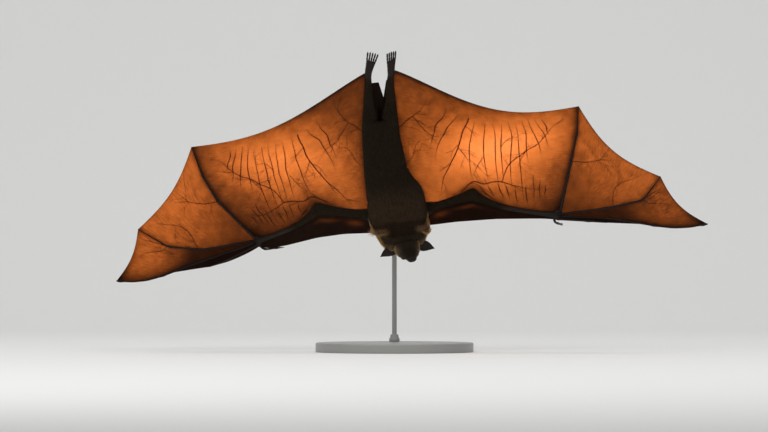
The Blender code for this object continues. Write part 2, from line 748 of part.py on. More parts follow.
def build_uropatagium(side):
    """The narrow skin along the inner leg, ending in the calcar's square corner."""
    sign = SIDES[side]
    sections = np.array(LEG_SECTIONS[side])[::-1]
    places, outers, halves, rises = sections.T
    tip_x, tip_y = CALCAR_TIP[side]
    rows = []
    for y in (-171, -186, -197, -207, CROTCH[1], -240, tip_y):
        inner = np.interp(y, places, outers - sign * 2 * halves) - sign * GAP / MM
        if y >= CROTCH[1]:
            share = min((y - CROTCH[1]) / (-186 - CROTCH[1]), 1)
            middle = CROTCH[0] + share * (RUMP_MIDDLE - CROTCH[0])
        else:
            share = (y - CROTCH[1]) / (tip_y - CROTCH[1])
            middle = CROTCH[0] + share * (tip_x - CROTCH[0])
        middle = middle + sign * GAP / MM
        width = max(sign * (inner - middle), 0.8)
        rise = np.interp(y, places, rises)
        rows.append(np.linspace((inner, y, rise), (inner - sign * width, y, rise), 4) * MM)
    sheet("uropatagium_" + side, rows, SKIN_DARK)


for side in SIDES:
    build_foot(side)
    build_uropatagium(side)

# ---- stand --------------------------------------------------------------------------
def build_stand():
    base_mesh = bpy.data.meshes.new("stand_base")
    shape = bmesh.new()
    bmesh.ops.create_cone(shape, cap_ends=True, segments=48, radius1=BASE_RADIUS,
                          radius2=BASE_RADIUS, depth=BASE_HEIGHT)
    shape.to_mesh(base_mesh)
    shape.free()
    base = place("stand_base", smooth(base_mesh), STAND_PAINT, 0.4, parent=None)
    base.location = (0, 0, BASE_HEIGHT / 2)
    edge = base.modifiers.new("rounded_edge", "BEVEL")
    edge.width = 2.5 * MM
    edge.segments = 1
    edge.limit_method = "ANGLE"

    pose_matrix = Matrix.LocRotScale(pose.location, pose.rotation_euler, None)
    seat_x, seat_y = ROD_SEAT
    back = np.interp(seat_y / MM, [row[0] for row in TRUNK_SECTIONS[::-1]],
                     [row[3] + row[4] for row in TRUNK_SECTIONS[::-1]]) * MM
    seat = np.array(pose_matrix @ Vector((seat_x, seat_y, back - ROD_DEPTH)))
    foot = np.array((seat[0], ROD_BACK, BASE_HEIGHT + GAP))
    bend = np.array((seat[0], ROD_BACK, seat[2]))
    quarter = np.linspace(0, math.pi / 2, 8)
    arc = [bend + ROD_BEND * np.array((0, math.cos(turn) - 1, math.sin(turn) - 1))
           for turn in quarter]
    path = [foot, *arc, seat]
    tube("stand_rod", path, [ROD_RADIUS] * len(path), STAND_PAINT, 0.35, sides=12, parent=None)

    hole = bpy.data.meshes.new("rod_hole")
    shape = bmesh.new()
    bmesh.ops.create_cone(shape, cap_ends=True, segments=16, radius1=ROD_RADIUS + GAP * 1.2,
                          radius2=ROD_RADIUS + GAP * 1.2, depth=60 * MM)
    shape.to_mesh(hole)
    shape.free()
    tool = cutter("rod_hole", hole)
    tool.location = (seat_x, seat_y, back - ROD_DEPTH - GAP + 30 * MM)
    cut(bpy.data.objects["trunk"], tool)

    inner = ROD_RADIUS + GAP
    profile = ((COLLAR_RADIUS, 0), (COLLAR_RADIUS, COLLAR_HEIGHT * 0.35),
               (COLLAR_RADIUS * 0.72, COLLAR_HEIGHT), (inner, COLLAR_HEIGHT), (inner, 0))
    turns = np.linspace(0, 2 * math.pi, 16, endpoint=False)
    rings = np.array([[(radius * math.cos(turn), radius * math.sin(turn), height)
                       for turn in turns] for radius, height in profile])
    here = np.arange(rings.shape[0] * rings.shape[1]).reshape(rings.shape[:2])
    across_ring = np.roll(here, -1, axis=1)
    up_ring = np.roll(here, -1, axis=0)
    corner = np.roll(across_ring, -1, axis=0)
    faces = np.stack((here, across_ring, corner, up_ring), axis=-1).reshape(-1, 4)
    mesh = bpy.data.meshes.new("stand_collar")
    mesh.from_pydata(rings.reshape(-1, 3).tolist(), [], faces.tolist())
    collar = place("stand_collar", outward(mesh), STAND_PAINT, 0.35, parent=None)
    collar.location = (seat[0], ROD_BACK, BASE_HEIGHT + GAP)


build_stand()
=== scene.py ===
"""Looks of the flying fox display model: stand, skin, eyes, claws, wings and coat.

The bat is worked out in millimetres in its own frame, +X to its right, +Y towards its head
and +Z towards its back, with the breastbone at the origin, and put in the room at the end.
"""
import math

import bpy
import numpy as np
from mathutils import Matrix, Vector


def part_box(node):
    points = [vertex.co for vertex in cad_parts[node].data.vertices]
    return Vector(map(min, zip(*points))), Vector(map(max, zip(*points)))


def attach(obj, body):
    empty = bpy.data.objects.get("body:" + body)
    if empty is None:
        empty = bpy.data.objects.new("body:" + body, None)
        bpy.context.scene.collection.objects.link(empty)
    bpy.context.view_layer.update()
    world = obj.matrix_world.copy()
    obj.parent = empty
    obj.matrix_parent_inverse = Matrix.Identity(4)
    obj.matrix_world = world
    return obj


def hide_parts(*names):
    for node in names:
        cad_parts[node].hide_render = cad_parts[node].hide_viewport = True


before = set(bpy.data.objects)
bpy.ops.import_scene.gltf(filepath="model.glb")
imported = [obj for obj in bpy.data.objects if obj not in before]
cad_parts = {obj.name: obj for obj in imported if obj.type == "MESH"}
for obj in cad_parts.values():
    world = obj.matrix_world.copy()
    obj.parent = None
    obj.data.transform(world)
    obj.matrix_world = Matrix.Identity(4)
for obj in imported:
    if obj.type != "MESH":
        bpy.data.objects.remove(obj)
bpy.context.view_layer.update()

# ---- Display stand -------------------------------------------------------------------
# A turned wooden base with a rounded edge, a bent round steel rod and the collar that
# clamps it. All three are sprayed with one even satin coat of grey paint.
STAND_GREY = (0.30, 0.30, 0.29)
MM, TO_MM = 0.001, 1000             # a millimetre in metres, and a metre in millimetres


def new_material(name, colour, roughness, specular=0.5):
    """A material with one Principled shader; returns it with its nodes, links and shader."""
    material = bpy.data.materials.new(name)
    material.use_nodes = True
    tree = material.node_tree
    shader = tree.nodes["Principled BSDF"]
    shader.inputs["Base Color"].default_value = (*colour, 1.0)
    shader.inputs["Roughness"].default_value = roughness
    shader.inputs["Specular IOR Level"].default_value = specular
    return material, tree.nodes, tree.links, shader


def add_node(nodes, kind, **settings):
    """A shader node with its settings: a property by name, an input by its index or name."""
    node = nodes.new("ShaderNode" + kind)
    for key, value in settings.items():
        if hasattr(node, key):
            setattr(node, key, value)
        else:
            node.inputs[key.replace("_", " ")].default_value = value
    return node


paint, nodes, links, shader = new_material("satin_paint", STAND_GREY, 0.38)
place = add_node(nodes, "TexCoord")
grain = add_node(nodes, "TexNoise", Scale=900.0, Detail=2.0)
orange_peel = add_node(nodes, "Bump", Strength=0.06, Distance=0.0004)
links.new(place.outputs["Object"], grain.inputs["Vector"])
links.new(grain.outputs["Fac"], orange_peel.inputs["Height"])
links.new(orange_peel.outputs["Normal"], shader.inputs["Normal"])


def turned(name, profile, sides, middle):
    """A turned piece: each (radius, height) of a closed profile carried round a circle."""
    profile = np.array(profile)
    turn = np.linspace(0, 2 * math.pi, sides, endpoint=False)
    points = np.stack((profile[:, :1] * np.cos(turn), profile[:, :1] * np.sin(turn),
                       np.broadcast_to(profile[:, 1:], (len(profile), sides))), axis=-1)
    here = np.arange(points.shape[0] * sides).reshape(-1, sides)
    quads = np.stack((here, np.roll(here, -1, 1), np.roll(np.roll(here, -1, 1), -1, 0),
                      np.roll(here, -1, 0)), axis=-1).reshape(-1, 4)
    mesh = bpy.data.meshes.new(name)
    mesh.from_pydata((points.reshape(-1, 3) + middle).tolist(), [], quads.tolist())
    mesh.shade_smooth()
    mesh.set_sharp_from_angle(angle=math.radians(35))
    return bpy.data.objects.new(name, mesh)


def show(piece, slot, *replaced):
    """Puts a finished piece in the scene on the one still body and hides the nodes it replaces;
    the slot is not used.
    """
    if not piece.users_collection:
        bpy.context.scene.collection.objects.link(piece)
    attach(piece, "root")
    if replaced:
        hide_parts(*replaced)


def rounded_corner(radius, height, rounding, start, turns=8):
    """Points of a quarter circle that rounds an outer corner, from start degrees."""
    angle = np.radians(np.linspace(start, start + 90, turns))
    return np.stack((radius - rounding + rounding * np.cos(angle),
                     height + rounding * np.sin(angle)), axis=1)


base_low, base_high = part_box("stand_base")
base_radius = (base_high.x - base_low.x) * TO_MM / 2
base_profile = np.concatenate((
    [(0.2, 0.0)], rounded_corner(base_radius, 2.0, 2.0, -90),
    rounded_corner(base_radius, base_high.z * TO_MM - 3.0, 3.0, 0),
    [(0.2, base_high.z * TO_MM)]))
base = turned("base", base_profile * MM, 128, (0, 0, 0))
base.data.materials.append(paint)
show(base, "stand_paint", "stand_base")

rod_low, rod_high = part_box("stand_rod")
ROD_RADIUS = 4.5
rod_x = (rod_low.x + rod_high.x) * TO_MM / 2
rod_back = rod_high.y * TO_MM - ROD_RADIUS
rod_top = rod_high.z * TO_MM - ROD_RADIUS
ROD_BEND = 32.0


def distances(path):
    """How far along a line of points each lies, as a share of the whole length."""
    steps = np.linalg.norm(np.diff(path, axis=0), axis=1)
    return np.concatenate(((0,), np.cumsum(steps))) / steps.sum()


def unit(vectors):
    """Each vector divided by its length."""
    vectors = np.asarray(vectors, dtype=float)
    return vectors / np.maximum(np.linalg.norm(vectors, axis=-1, keepdims=True), 1e-12)


def tangents(path):
    """The unit direction of a line at each of its points."""
    return unit(np.gradient(path, axis=0))


def tube(path, wide, deep, up, sides, square=2.0):
    """A closed tube: path + wide*cos(t)*across + deep*sin(t)*rise, with a point on each end.

    across and rise are square to the path and rise is the nearest to up. A superellipse
    has the power 2/square of the cosine and sine. Returns the points, the quads of the
    wall and the triangles of the ends, facing out.
    """
    along = tangents(path)
    across = unit(np.cross(along, up))
    rise = np.cross(across, along)
    turn = np.linspace(0, 2 * math.pi, sides, endpoint=False)
    side = np.sign(np.cos(turn)) * np.abs(np.cos(turn)) ** (2 / square)
    lift = np.sign(np.sin(turn)) * np.abs(np.sin(turn)) ** (2 / square)
    wide, deep = (np.broadcast_to(size, len(path))[:, None, None] for size in (wide, deep))
    rings = (path[:, None] + wide * side[None, :, None] * across[:, None]
             + deep * lift[None, :, None] * rise[:, None])
    points = np.concatenate((rings.reshape(-1, 3), path[:1], path[-1:]))
    here = np.arange(len(path) * sides).reshape(-1, sides)
    after = np.roll(here, -1, axis=1)
    walls = np.stack((here[:-1], after[:-1], after[1:], here[1:]), axis=-1).reshape(-1, 4)
    first = np.stack((after[0], here[0], np.full(sides, here.size)), axis=-1)
    last = np.stack((here[-1], after[-1], np.full(sides, here.size + 1)), axis=-1)
    return points, walls[:, ::-1], np.concatenate((first, last))[:, ::-1]


def joined(shells):
    """Several (points, quads, triangles) as one, with the corners counted on."""
    starts = np.cumsum([0] + [len(shell[0]) for shell in shells])
    return (np.concatenate([shell[0] for shell in shells]),
            np.concatenate([shell[1] + start for shell, start in zip(shells, starts)]),
            np.concatenate([shell[2] + start for shell, start in zip(shells, starts)]))


def build(name, points, *face_sets):
    """A smooth object at the origin from points in metres and arrays of faces."""
    mesh = bpy.data.meshes.new(name)
    corners = np.concatenate([np.asarray(faces).ravel() for faces in face_sets])
    sizes = np.concatenate([np.full(len(faces), faces.shape[1]) for faces in face_sets])
    mesh.vertices.add(len(points))
    mesh.vertices.foreach_set("co", np.asarray(points, np.float32).ravel())
    mesh.loops.add(len(corners))
    mesh.loops.foreach_set("vertex_index", corners.astype(np.int32))
    mesh.polygons.add(len(sizes))
    starts = np.concatenate(((0,), np.cumsum(sizes)[:-1]))
    mesh.polygons.foreach_set("loop_start", starts.astype(np.int32))
    mesh.update(calc_edges=True)
    mesh.shade_smooth()
    return bpy.data.objects.new(name, mesh)


quarter = np.linspace(0, math.pi / 2, 20)
bend = np.stack((np.full(20, rod_x), rod_back - ROD_BEND + ROD_BEND * np.cos(quarter),
                 rod_top - ROD_BEND + ROD_BEND * np.sin(quarter)), axis=1)
rod_path = np.concatenate(([(rod_x, rod_back, base_high.z * TO_MM - 2)], bend,
                           [(rod_x, rod_low.y * TO_MM, rod_top)]))
rod_points, *rod_faces = tube(rod_path, ROD_RADIUS, ROD_RADIUS, (1, 0, 0), 32)
rod = build("rod", rod_points * MM, *rod_faces)
rod.data.set_sharp_from_angle(angle=math.radians(60))
rod.data.materials.append(paint)
show(rod, "stand_paint", "stand_rod")

collar_low, collar_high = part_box("stand_collar")
collar_radius = (collar_high.x - collar_low.x) * TO_MM / 2
collar_height = (collar_high.z - collar_low.z) * TO_MM
collar_profile = np.concatenate((
    [(ROD_RADIUS + 0.1, 0.0)], rounded_corner(collar_radius, 0.8, 0.8, -90, 5),
    rounded_corner(collar_radius, collar_height * 0.4, 1.5, 0, 5),
    rounded_corner(collar_radius * 0.74, collar_height - 1.0, 1.0, 0, 5),
    [(ROD_RADIUS + 0.1, collar_height)]))
collar = turned("collar", collar_profile * MM, 64,
                (rod_x * MM, rod_back * MM, collar_low.z))
collar.data.materials.append(paint)
show(collar, "stand_paint", "stand_collar")

# ---- Skin ----------------------------------------------------------------------------
# One skin covers the head, neck, trunk, arms, legs and feet with no seam, drawn in from
# the coat's tips by the depth of the fur. It is cast in soft dark resin and tinted; the
# nose, lids, ears, wrists, thumbs and feet stay bare of fur.
LEAN, HEAD_NOD, HEAD_TURN = (math.radians(angle) for angle in (6, 50, 9))
BREASTBONE = np.array((8.5, -30.0, 264.0))
SIDES = {"right": 1, "left": -1}
ACROSS, HEADWARD, BACKWARD = np.eye(3)
SHOULDER = {"right": (36, 1.5, 8), "left": (-40, 1.5, 6)}
# Turns in degrees of the upper arm and forearm: towards the head, then the back.
ARM_TURNS = {"right": ((-11.4, 22.3), (19.6, 7.2)), "left": ((-12.7, 11.0), (21.9, 38.3))}
UPPER_ARM, FOREARM, FOREARM_BOW = 118, 166, 9
THUMB_TURNS = {"right": ((28, -45), (20, -75), (30, -85)),
               "left": ((150, -35), (181, -15), (178, 5))}
THUMB_BONES = (12, 24, 15)

# Headward place, left side, right side, half depth, middle of the depth, depth of coat.
TRUNK = ((34, -53, 55, 32, 3, 4), (30, -54.5, 57, 33, 3, 4), (18, -58.5, 56, 37, 1, 3.6),
         (0, -59.3, 53.5, 41, -1, 3.2), (-25, -59.5, 51, 43, -2, 2.6),
         (-42, -59.5, 42, 42, -2, 2.2), (-60, -58.7, 32.5, 40, -1, 2),
         (-76, -58, 26, 37, 0, 1.8), (-102, -56.8, 22, 34, 1, 1.6),
         (-130, -55.4, 18.5, 30.5, 2, 1.4), (-152, -54, 17, 26.5, 3, 1.2),
         (-168, -52.8, 17, 22, 4, 1.2), (-174, -50, 15, 17, 4, 1.2))
# Headward place, outer side, half width, rise, depth of coat.
LEG = {"right": ((-150, 17, 16, 3, 1.4), (-168.6, 17, 16.2, 4, 1.4), (-186, 17, 14.6, 10, 1.1),
                 (-197, 17, 12.8, 13, 1), (-207, 17, 11, 15, 0.8), (-222, 16.5, 9.4, 13, 0.5),
                 (-240, 16, 7.8, 7, 0.2), (-258, 17.6, 6.4, 2, 0), (-273.5, 21, 7.4, -2.2, 0),
                 (-279, 20.6, 7.4, -3.4, 0)),
       "left": ((-150, -53.6, 16, 3, 1.4), (-168.6, -52.6, 16.2, 4, 1.4),
                (-186, -50.4, 14.6, 10, 1.1), (-197, -48.7, 12.8, 13, 1),
                (-207, -47, 11.2, 15, 0.8), (-222, -44.4, 9.6, 13, 0.5),
                (-240, -41, 7.8, 7, 0.2), (-258, -38.2, 6.4, 2, 0), (-272.5, -36.4, 7, -2, 0),
                (-278, -36, 7.2, -3.2, 0))}
# Middle of the ankle and of the row of toes, then the foot's half widths between them.
ANKLE = {"right": (13.6, -273.5, -2.2), "left": (-29.4, -272.5, -2)}
TOE_LINE = {"right": (15.6, -289.5, -7), "left": (-22.5, -292, -7)}
FOOT_WIDTH = {"right": (7.4, 7.8, 8.8, 9.6), "left": (7.0, 7.9, 9.2, 10.0)}
TOE_SPACING, TOE_FAN = {"right": 3.9, "left": 4.1}, {"right": 0.02, "left": 0.06}
TOE_SLANT = {"right": 0.38, "left": 0.0}
# Ahead of the ears, half width, half height, rise, depth of coat.
HEAD = ((-22, 22.5, 18.5, 1.5, 3), (-17.6, 25, 20.5, 1.5, 3), (-10, 25.2, 21.5, 1.5, 2.4),
        (0, 24.4, 20.2, 1, 1.8), (10, 23, 17.6, -1, 1.3), (17, 20.6, 15.6, -2.6, 0.9),
        (24, 16.6, 13.4, -4.4, 0.5), (31, 13, 11.2, -6, 0.3), (38, 11, 9.4, -7.2, 0.2),
        (44, 9.4, 8.2, -8, 0.1), (48.5, 7.6, 6.4, -8, 0.1), (51, 4.4, 3.8, -7.6, 0.1))
# Half width and half depth of the neck under its fur, from the chest to inside the head.
NECK = ((47, 28), (44, 27), (41.5, 26), (39.5, 24), (37, 20.5), (30, 16))
EAR_MIDDLE = np.array((8.2, 66.0, 0.0))
MUZZLE = np.array((math.sin(HEAD_TURN), math.cos(HEAD_TURN) * math.cos(HEAD_NOD),
                   -math.cos(HEAD_TURN) * math.sin(HEAD_NOD)))
CROWN = np.array((0.0, math.sin(HEAD_NOD), math.cos(HEAD_NOD)))
HEAD_RIGHT = np.cross(MUZZLE, CROWN)
HEAD_AXES = np.array((MUZZLE, HEAD_RIGHT, CROWN))
EYE_RADIUS, EYE_SEAT = 5.8, (20.5, 12.0, 2.6)
# Forward, out and up on the head: each ear's root, and which way the ear reaches.
EAR_SEAT = {"right": (-7.0, 23.5, 2.0), "left": (-9.0, 22.0, 0.0)}
EAR_REACH = {"right": (0.13, 0.85, 0.50), "left": (-0.02, 0.85, 0.53)}
EAR_LENGTH, EAR_WIDTH = 35, 20
# Half length, half width, half height, rings and sides of the balls of the face.
EYELID, NOSE_LOBE = (6.7, 6.7, 6.7, 24, 32), (3.4, 3.0, 2.9, 16, 24)
CHEEK = (15, 7.6, 9.0, 20, 32)
SKIN_CELL = 0.85                    # size of the cells that the shapes are fused in
SKIN_KEPT = 0.24                    # share of the triangles kept where fur hides the skin


def in_room(points):
    """Bat millimetres to room metres: leaned across, turned head down, breastbone placed."""
    x, y, z = np.asarray(points, dtype=float).T
    turned_points = np.stack((math.cos(LEAN) * x + math.sin(LEAN) * y, z,
                              math.sin(LEAN) * x - math.cos(LEAN) * y), axis=1)
    return (turned_points + BREASTBONE) * MM


def spline(rows, share):
    """Smooth values between evenly numbered rows: the Catmull-Rom cubic of four neighbours."""
    rows = np.asarray(rows, dtype=float)
    place_on = np.asarray(share) * (len(rows) - 1)
    start = np.clip(np.floor(place_on).astype(int), 0, len(rows) - 2)
    t = (place_on - start)[:, None]
    ends = np.concatenate(([2 * rows[0] - rows[1]], rows, [2 * rows[-1] - rows[-2]]))
    a, b, c, d = (ends[start + number] for number in range(4))
    return b + 0.5 * t * (c - a + t * (2 * a - 5 * b + 4 * c - d + t * (3 * (b - c) + d - a)))


def on_head(forward, out, up):
    """A place given from the middle of the ear line, in the head's own directions."""
    return EAR_MIDDLE + np.stack(np.broadcast_arrays(forward, out, up), axis=-1) @ HEAD_AXES


def bone(side, length, turns):
    """A bone's vector from its turns: towards the head from straight out, then the back."""
    sweep, lift = (math.radians(turn) for turn in turns)
    return length * np.array((math.cos(lift) * math.cos(sweep) * SIDES[side],
                              math.cos(lift) * math.sin(sweep), math.sin(lift)))


def arm_corners(side):
    """The places of the shoulder, elbow and wrist."""
    shoulder = np.array(SHOULDER[side], dtype=float)
    elbow = shoulder + bone(side, UPPER_ARM, ARM_TURNS[side][0])
    return shoulder, elbow, elbow + bone(side, FOREARM, ARM_TURNS[side][1])


def arm_line(side, upper, lower):
    """The arm's middle line: straight upper arm, then the forearm bowed by a skewed sine."""
    shoulder, elbow, wrist = arm_corners(side)
    bow = FOREARM_BOW * np.sin(math.pi * np.clip(lower, 0, 1) ** 0.75)
    return np.concatenate((shoulder + upper[:, None] * (elbow - shoulder),
                           elbow + lower[:, None] * (wrist - elbow) + bow[:, None] * HEADWARD))


def arm_half_widths(upper, lower):
    """Half the arm's width: broad at the chest, lean, thick at the elbow and the wrist."""
    return np.concatenate((7.4 + 13 * np.exp(-6.5 * upper) + 5.6 * upper ** 4,
                           5.2 + 7.8 * np.exp(-8 * lower) + 2.8 * lower ** 12))


def trunk_shell():
    """A superellipse tube through the trunk's sections, less the depth of the coat."""
    y, left, right, depth, rise, coat = spline(TRUNK, np.linspace(0, 1, 70)).T
    path = np.stack(((left + right) / 2, y, rise), axis=1)
    return tube(path, (right - left) / 2 - coat, depth - coat, BACKWARD, 64, 2.2)


def neck_shell():
    """The neck turns from the chest's section to the back of the head."""
    chest, nape = np.array((3.0, 30, 3)), on_head(-17.6, 1, 1.5)
    share = np.linspace(0, 1, 48)
    middle = chest + np.linspace(-0.5, 1.25, 48)[:, None] * (nape - chest)
    wide, deep = spline(NECK, np.clip(share * 1.45 - 0.45, 0, 1)).T
    return tube(middle, wide, deep, BACKWARD, 64, 2.2)


def head_shell():
    """A superellipse tube along the head, from behind the ears to the nose."""
    forward, wide, high, rise, coat = spline(HEAD, np.linspace(0, 1, 80)).T
    return tube(on_head(forward, 0, rise), wide - coat, high - coat, CROWN, 64, 2.2)


def leg_shell(side):
    """Thigh and shank in one tube, deeper than wide at the hip."""
    y, outer, half, rise, coat = spline(LEG[side], np.linspace(0, 1, 60)).T
    path = np.stack((outer - SIDES[side] * half, y, rise), axis=1)
    deep = half * np.interp(y, (-274, -258, -207, -168), (0.76, 1.0, 1.0, 1.25))
    return tube(path, half - coat, deep - coat, BACKWARD, 40)


def foot_shell(side):
    """The sole from the ankle to the toes' roots: wider and flatter towards the toes."""
    ankle, toes = np.array(ANKLE[side]), np.array(TOE_LINE[side])
    share = np.linspace(-0.3, 1.0, 24)
    wide = np.interp(share, (0, 0.35, 0.75, 1), FOOT_WIDTH[side])
    deep = np.interp(share, (0, 0.35, 0.75, 1), (5.3, 4.3, 3.3, 2.4))
    points, *faces = tube(ankle + share[:, None] * (toes - ankle), wide, deep, BACKWARD, 32, 2.4)
    along = unit(toes - ankle)
    slant = TOE_SLANT[side] * step((points - ankle) @ along, 4, 18) * (points - toes)[:, 0]
    return (points + slant[:, None] * along, *faces)


def arm_shell(side):
    """Upper arm and forearm on one line, closed past the wrist by a rounded end."""
    upper, lower = np.linspace(0, 1, 40), np.linspace(0, 1.035, 60)[1:]
    path = arm_line(side, upper, lower)
    coat = np.concatenate((np.interp(upper, (0, 0.3, 1), (2.2, 1.6, 0.9)),
                           np.interp(lower, (0, 0.25, 0.9), (0.9, 0.5, 0.2))))
    half = arm_half_widths(upper, np.minimum(lower, 1))
    flat = np.linspace(0.92, 0.68, len(path))
    end = np.sqrt(np.clip(1 - (np.maximum(lower - 0.985, 0) / 0.052) ** 2, 0.02, 1))
    end = np.concatenate((np.ones(len(upper)), end))
    wide, deep = (half - coat) * end, (half * flat - coat) * end
    return tube(path, deep, wide, HEADWARD, 32)


def rounded_line(corners, rounding, count):
    """A line through corners, cut across each by rounding and smoothed, at even steps."""
    corners = np.asarray(corners, dtype=float)
    points = [corners[0]]
    for before, corner, after in zip(corners, corners[1:], corners[2:]):
        reach = min(rounding, np.linalg.norm(corner - before) / 2.2,
                    np.linalg.norm(after - corner) / 2.2)
        start, end = corner + unit(before - corner) * reach, corner + unit(after - corner) * reach
        points += [start, 0.25 * start + 0.5 * corner + 0.25 * end, end]
    return evenly(spline(points + [corners[-1]], np.linspace(0, 1, count * 4)), count)


def evenly(path, count):
    """The same line with its points at even steps."""
    share, even = distances(path), np.linspace(0, 1, count)
    return np.stack([np.interp(even, share, path[:, axis]) for axis in range(3)], axis=1)


def thumb_line(side):
    """From inside the wrist out of its leading edge and along the thumb's three bones."""
    wrist_axis = unit(np.diff(arm_line(side, np.ones(1), np.array((0.97, 1.0)))[1:], axis=0))[0]
    wrist = arm_corners(side)[2]
    ahead = unit(HEADWARD - wrist_axis * (wrist_axis @ HEADWARD))
    corners = [wrist - wrist_axis * 3 + ahead * 3, wrist - wrist_axis * 3 + ahead * 13.5]
    for length, turns in zip(THUMB_BONES, THUMB_TURNS[side]):
        corners.append(corners[-1] + bone(side, length, turns))
    return rounded_line(corners, 8, 60)


def thumb_shell(side):
    """The fleshy thumb up to its claw, swollen at its two joints and at the pad."""
    path = thumb_line(side)
    share = distances(path)
    swell = sum(high * np.exp(-((share - at) / 0.05) ** 2)
                for at, high in ((0.33, 0.22), (0.74, 0.30)))
    radius = 2.9 * (1 - 0.38 * share + swell)
    keep = share < 0.80
    return tube(path[keep], radius[keep], radius[keep] * 0.92, HEADWARD + BACKWARD * 0.3, 20)


def eye_middle(side):
    """The middle of an eye and of the lids round it."""
    return on_head(EYE_SEAT[0], SIDES[side] * EYE_SEAT[1], EYE_SEAT[2])


def ball(middle, long, wide, high, rings, sides):
    """A closed ball: long cos(t) along the head, wide sin(t) across it and high sin(t) up."""
    angle = np.linspace(0.02, math.pi - 0.02, rings)
    path = middle - long * np.cos(angle)[:, None] * MUZZLE
    return tube(path, wide * np.sin(angle), high * np.sin(angle), CROWN, sides)


def evaluated(points, face_sets, kind, **settings):
    """Points and triangles of a shape after one modifier."""
    shape = build("shape", points, *face_sets)
    bpy.context.scene.collection.objects.link(shape)
    if kind == "DECIMATE":
        free = shape.vertex_groups.new(name="free")
        free.add(np.nonzero(settings.pop("free"))[0].tolist(), 1.0, "REPLACE")
        settings.update(vertex_group="free", vertex_group_factor=1.0)
    modifier = shape.modifiers.new("change", kind)
    for key, value in settings.items():
        setattr(modifier, key, value)
    mesh = shape.evaluated_get(bpy.context.evaluated_depsgraph_get()).to_mesh()
    mesh.calc_loop_triangles()
    found = np.zeros(len(mesh.vertices) * 3, np.float32)
    mesh.vertices.foreach_get("co", found)
    corners = np.zeros(len(mesh.loop_triangles) * 3, np.int32)
    mesh.loop_triangles.foreach_get("vertices", corners)
    data = shape.data
    bpy.data.objects.remove(shape)
    bpy.data.meshes.remove(data)
    return found.reshape(-1, 3).astype(float), corners.reshape(-1, 3)


def normals_of(points, triangles):
    """Each corner's normal: the sum of its triangles' cross products, made unit."""
    a, b, c = points[triangles].transpose(1, 0, 2)
    face = np.cross(b - a, c - a)
    corner = triangles.ravel()
    face = np.repeat(face, 3, axis=0)
    return unit(np.stack([np.bincount(corner, face[:, axis], len(points))
                          for axis in range(3)], axis=1))


def relaxed(points, triangles, amount, rounds):
    """Each point moved towards the mean of its neighbours by amount, several times."""
    start = triangles.ravel()
    end = np.roll(triangles, -1, axis=1).ravel()
    start, end = np.concatenate((start, end)), np.concatenate((end, start))
    count = np.maximum(np.bincount(start, minlength=len(points)), 1)[:, None]
    amount = np.broadcast_to(amount, len(points))[:, None]
    for _ in range(rounds):
        mean = np.stack([np.bincount(start, points[end, axis], len(points))
                         for axis in range(3)], axis=1) / count
        points = points + amount * (mean - points)
    return points


def refined(points, triangles, inside):
    """Cuts each edge between two marked points at its middle: 4 triangles, or 2 at the rim."""
    edges = np.sort(np.stack((triangles, np.roll(triangles, -1, axis=1)), axis=-1), axis=-1)
    marked = inside[edges].all(axis=-1)
    keys = edges[..., 0].astype(np.int64) * len(points) + edges[..., 1]
    found, number = np.unique(keys[marked], return_inverse=True)
    middle = np.full(triangles.shape, -1)
    middle[marked] = len(points) + number
    points = np.concatenate((points, (points[found // len(points)]
                                      + points[found % len(points)]) / 2))
    whole = triangles[~marked.any(axis=1)]
    full = marked.all(axis=1)
    (a, b, c), (ab, bc, ca) = triangles[full].T, middle[full].T
    parts = [whole, *(np.stack(corners, axis=1) for corners in
                      ((a, ab, ca), (ab, b, bc), (ca, bc, c), (ab, bc, ca)))]
    for turn in range(3):
        single = (marked.sum(axis=1) == 1) & marked[:, turn]
        a, b, c = np.roll(triangles[single], -turn, axis=1).T
        ab = middle[single, turn]
        parts += [np.stack((a, ab, c), axis=1), np.stack((ab, b, c), axis=1)]
    return points, np.concatenate(parts)


def to_head(points):
    """The head's own forward, out and up of each point, in millimetres."""
    return (points - EAR_MIDDLE) @ HEAD_AXES.T


def step(value, low, high):
    """0 below low, 1 above high and a smooth cubic between."""
    share = np.clip((value - low) / (high - low), 0, 1)
    return share * share * (3 - 2 * share)


def eye_gaze(side):
    """Which way the middle of the eye's opening faces: forward, out and a little up."""
    return unit(0.56 * MUZZLE + 0.80 * SIDES[side] * HEAD_RIGHT + 0.20 * CROWN)


def mouth_height(forward):
    """How high the mouth's line runs: level at the lips, curving up to its corner."""
    return -11.6 + 2.4 * step(-forward, -34, -22)


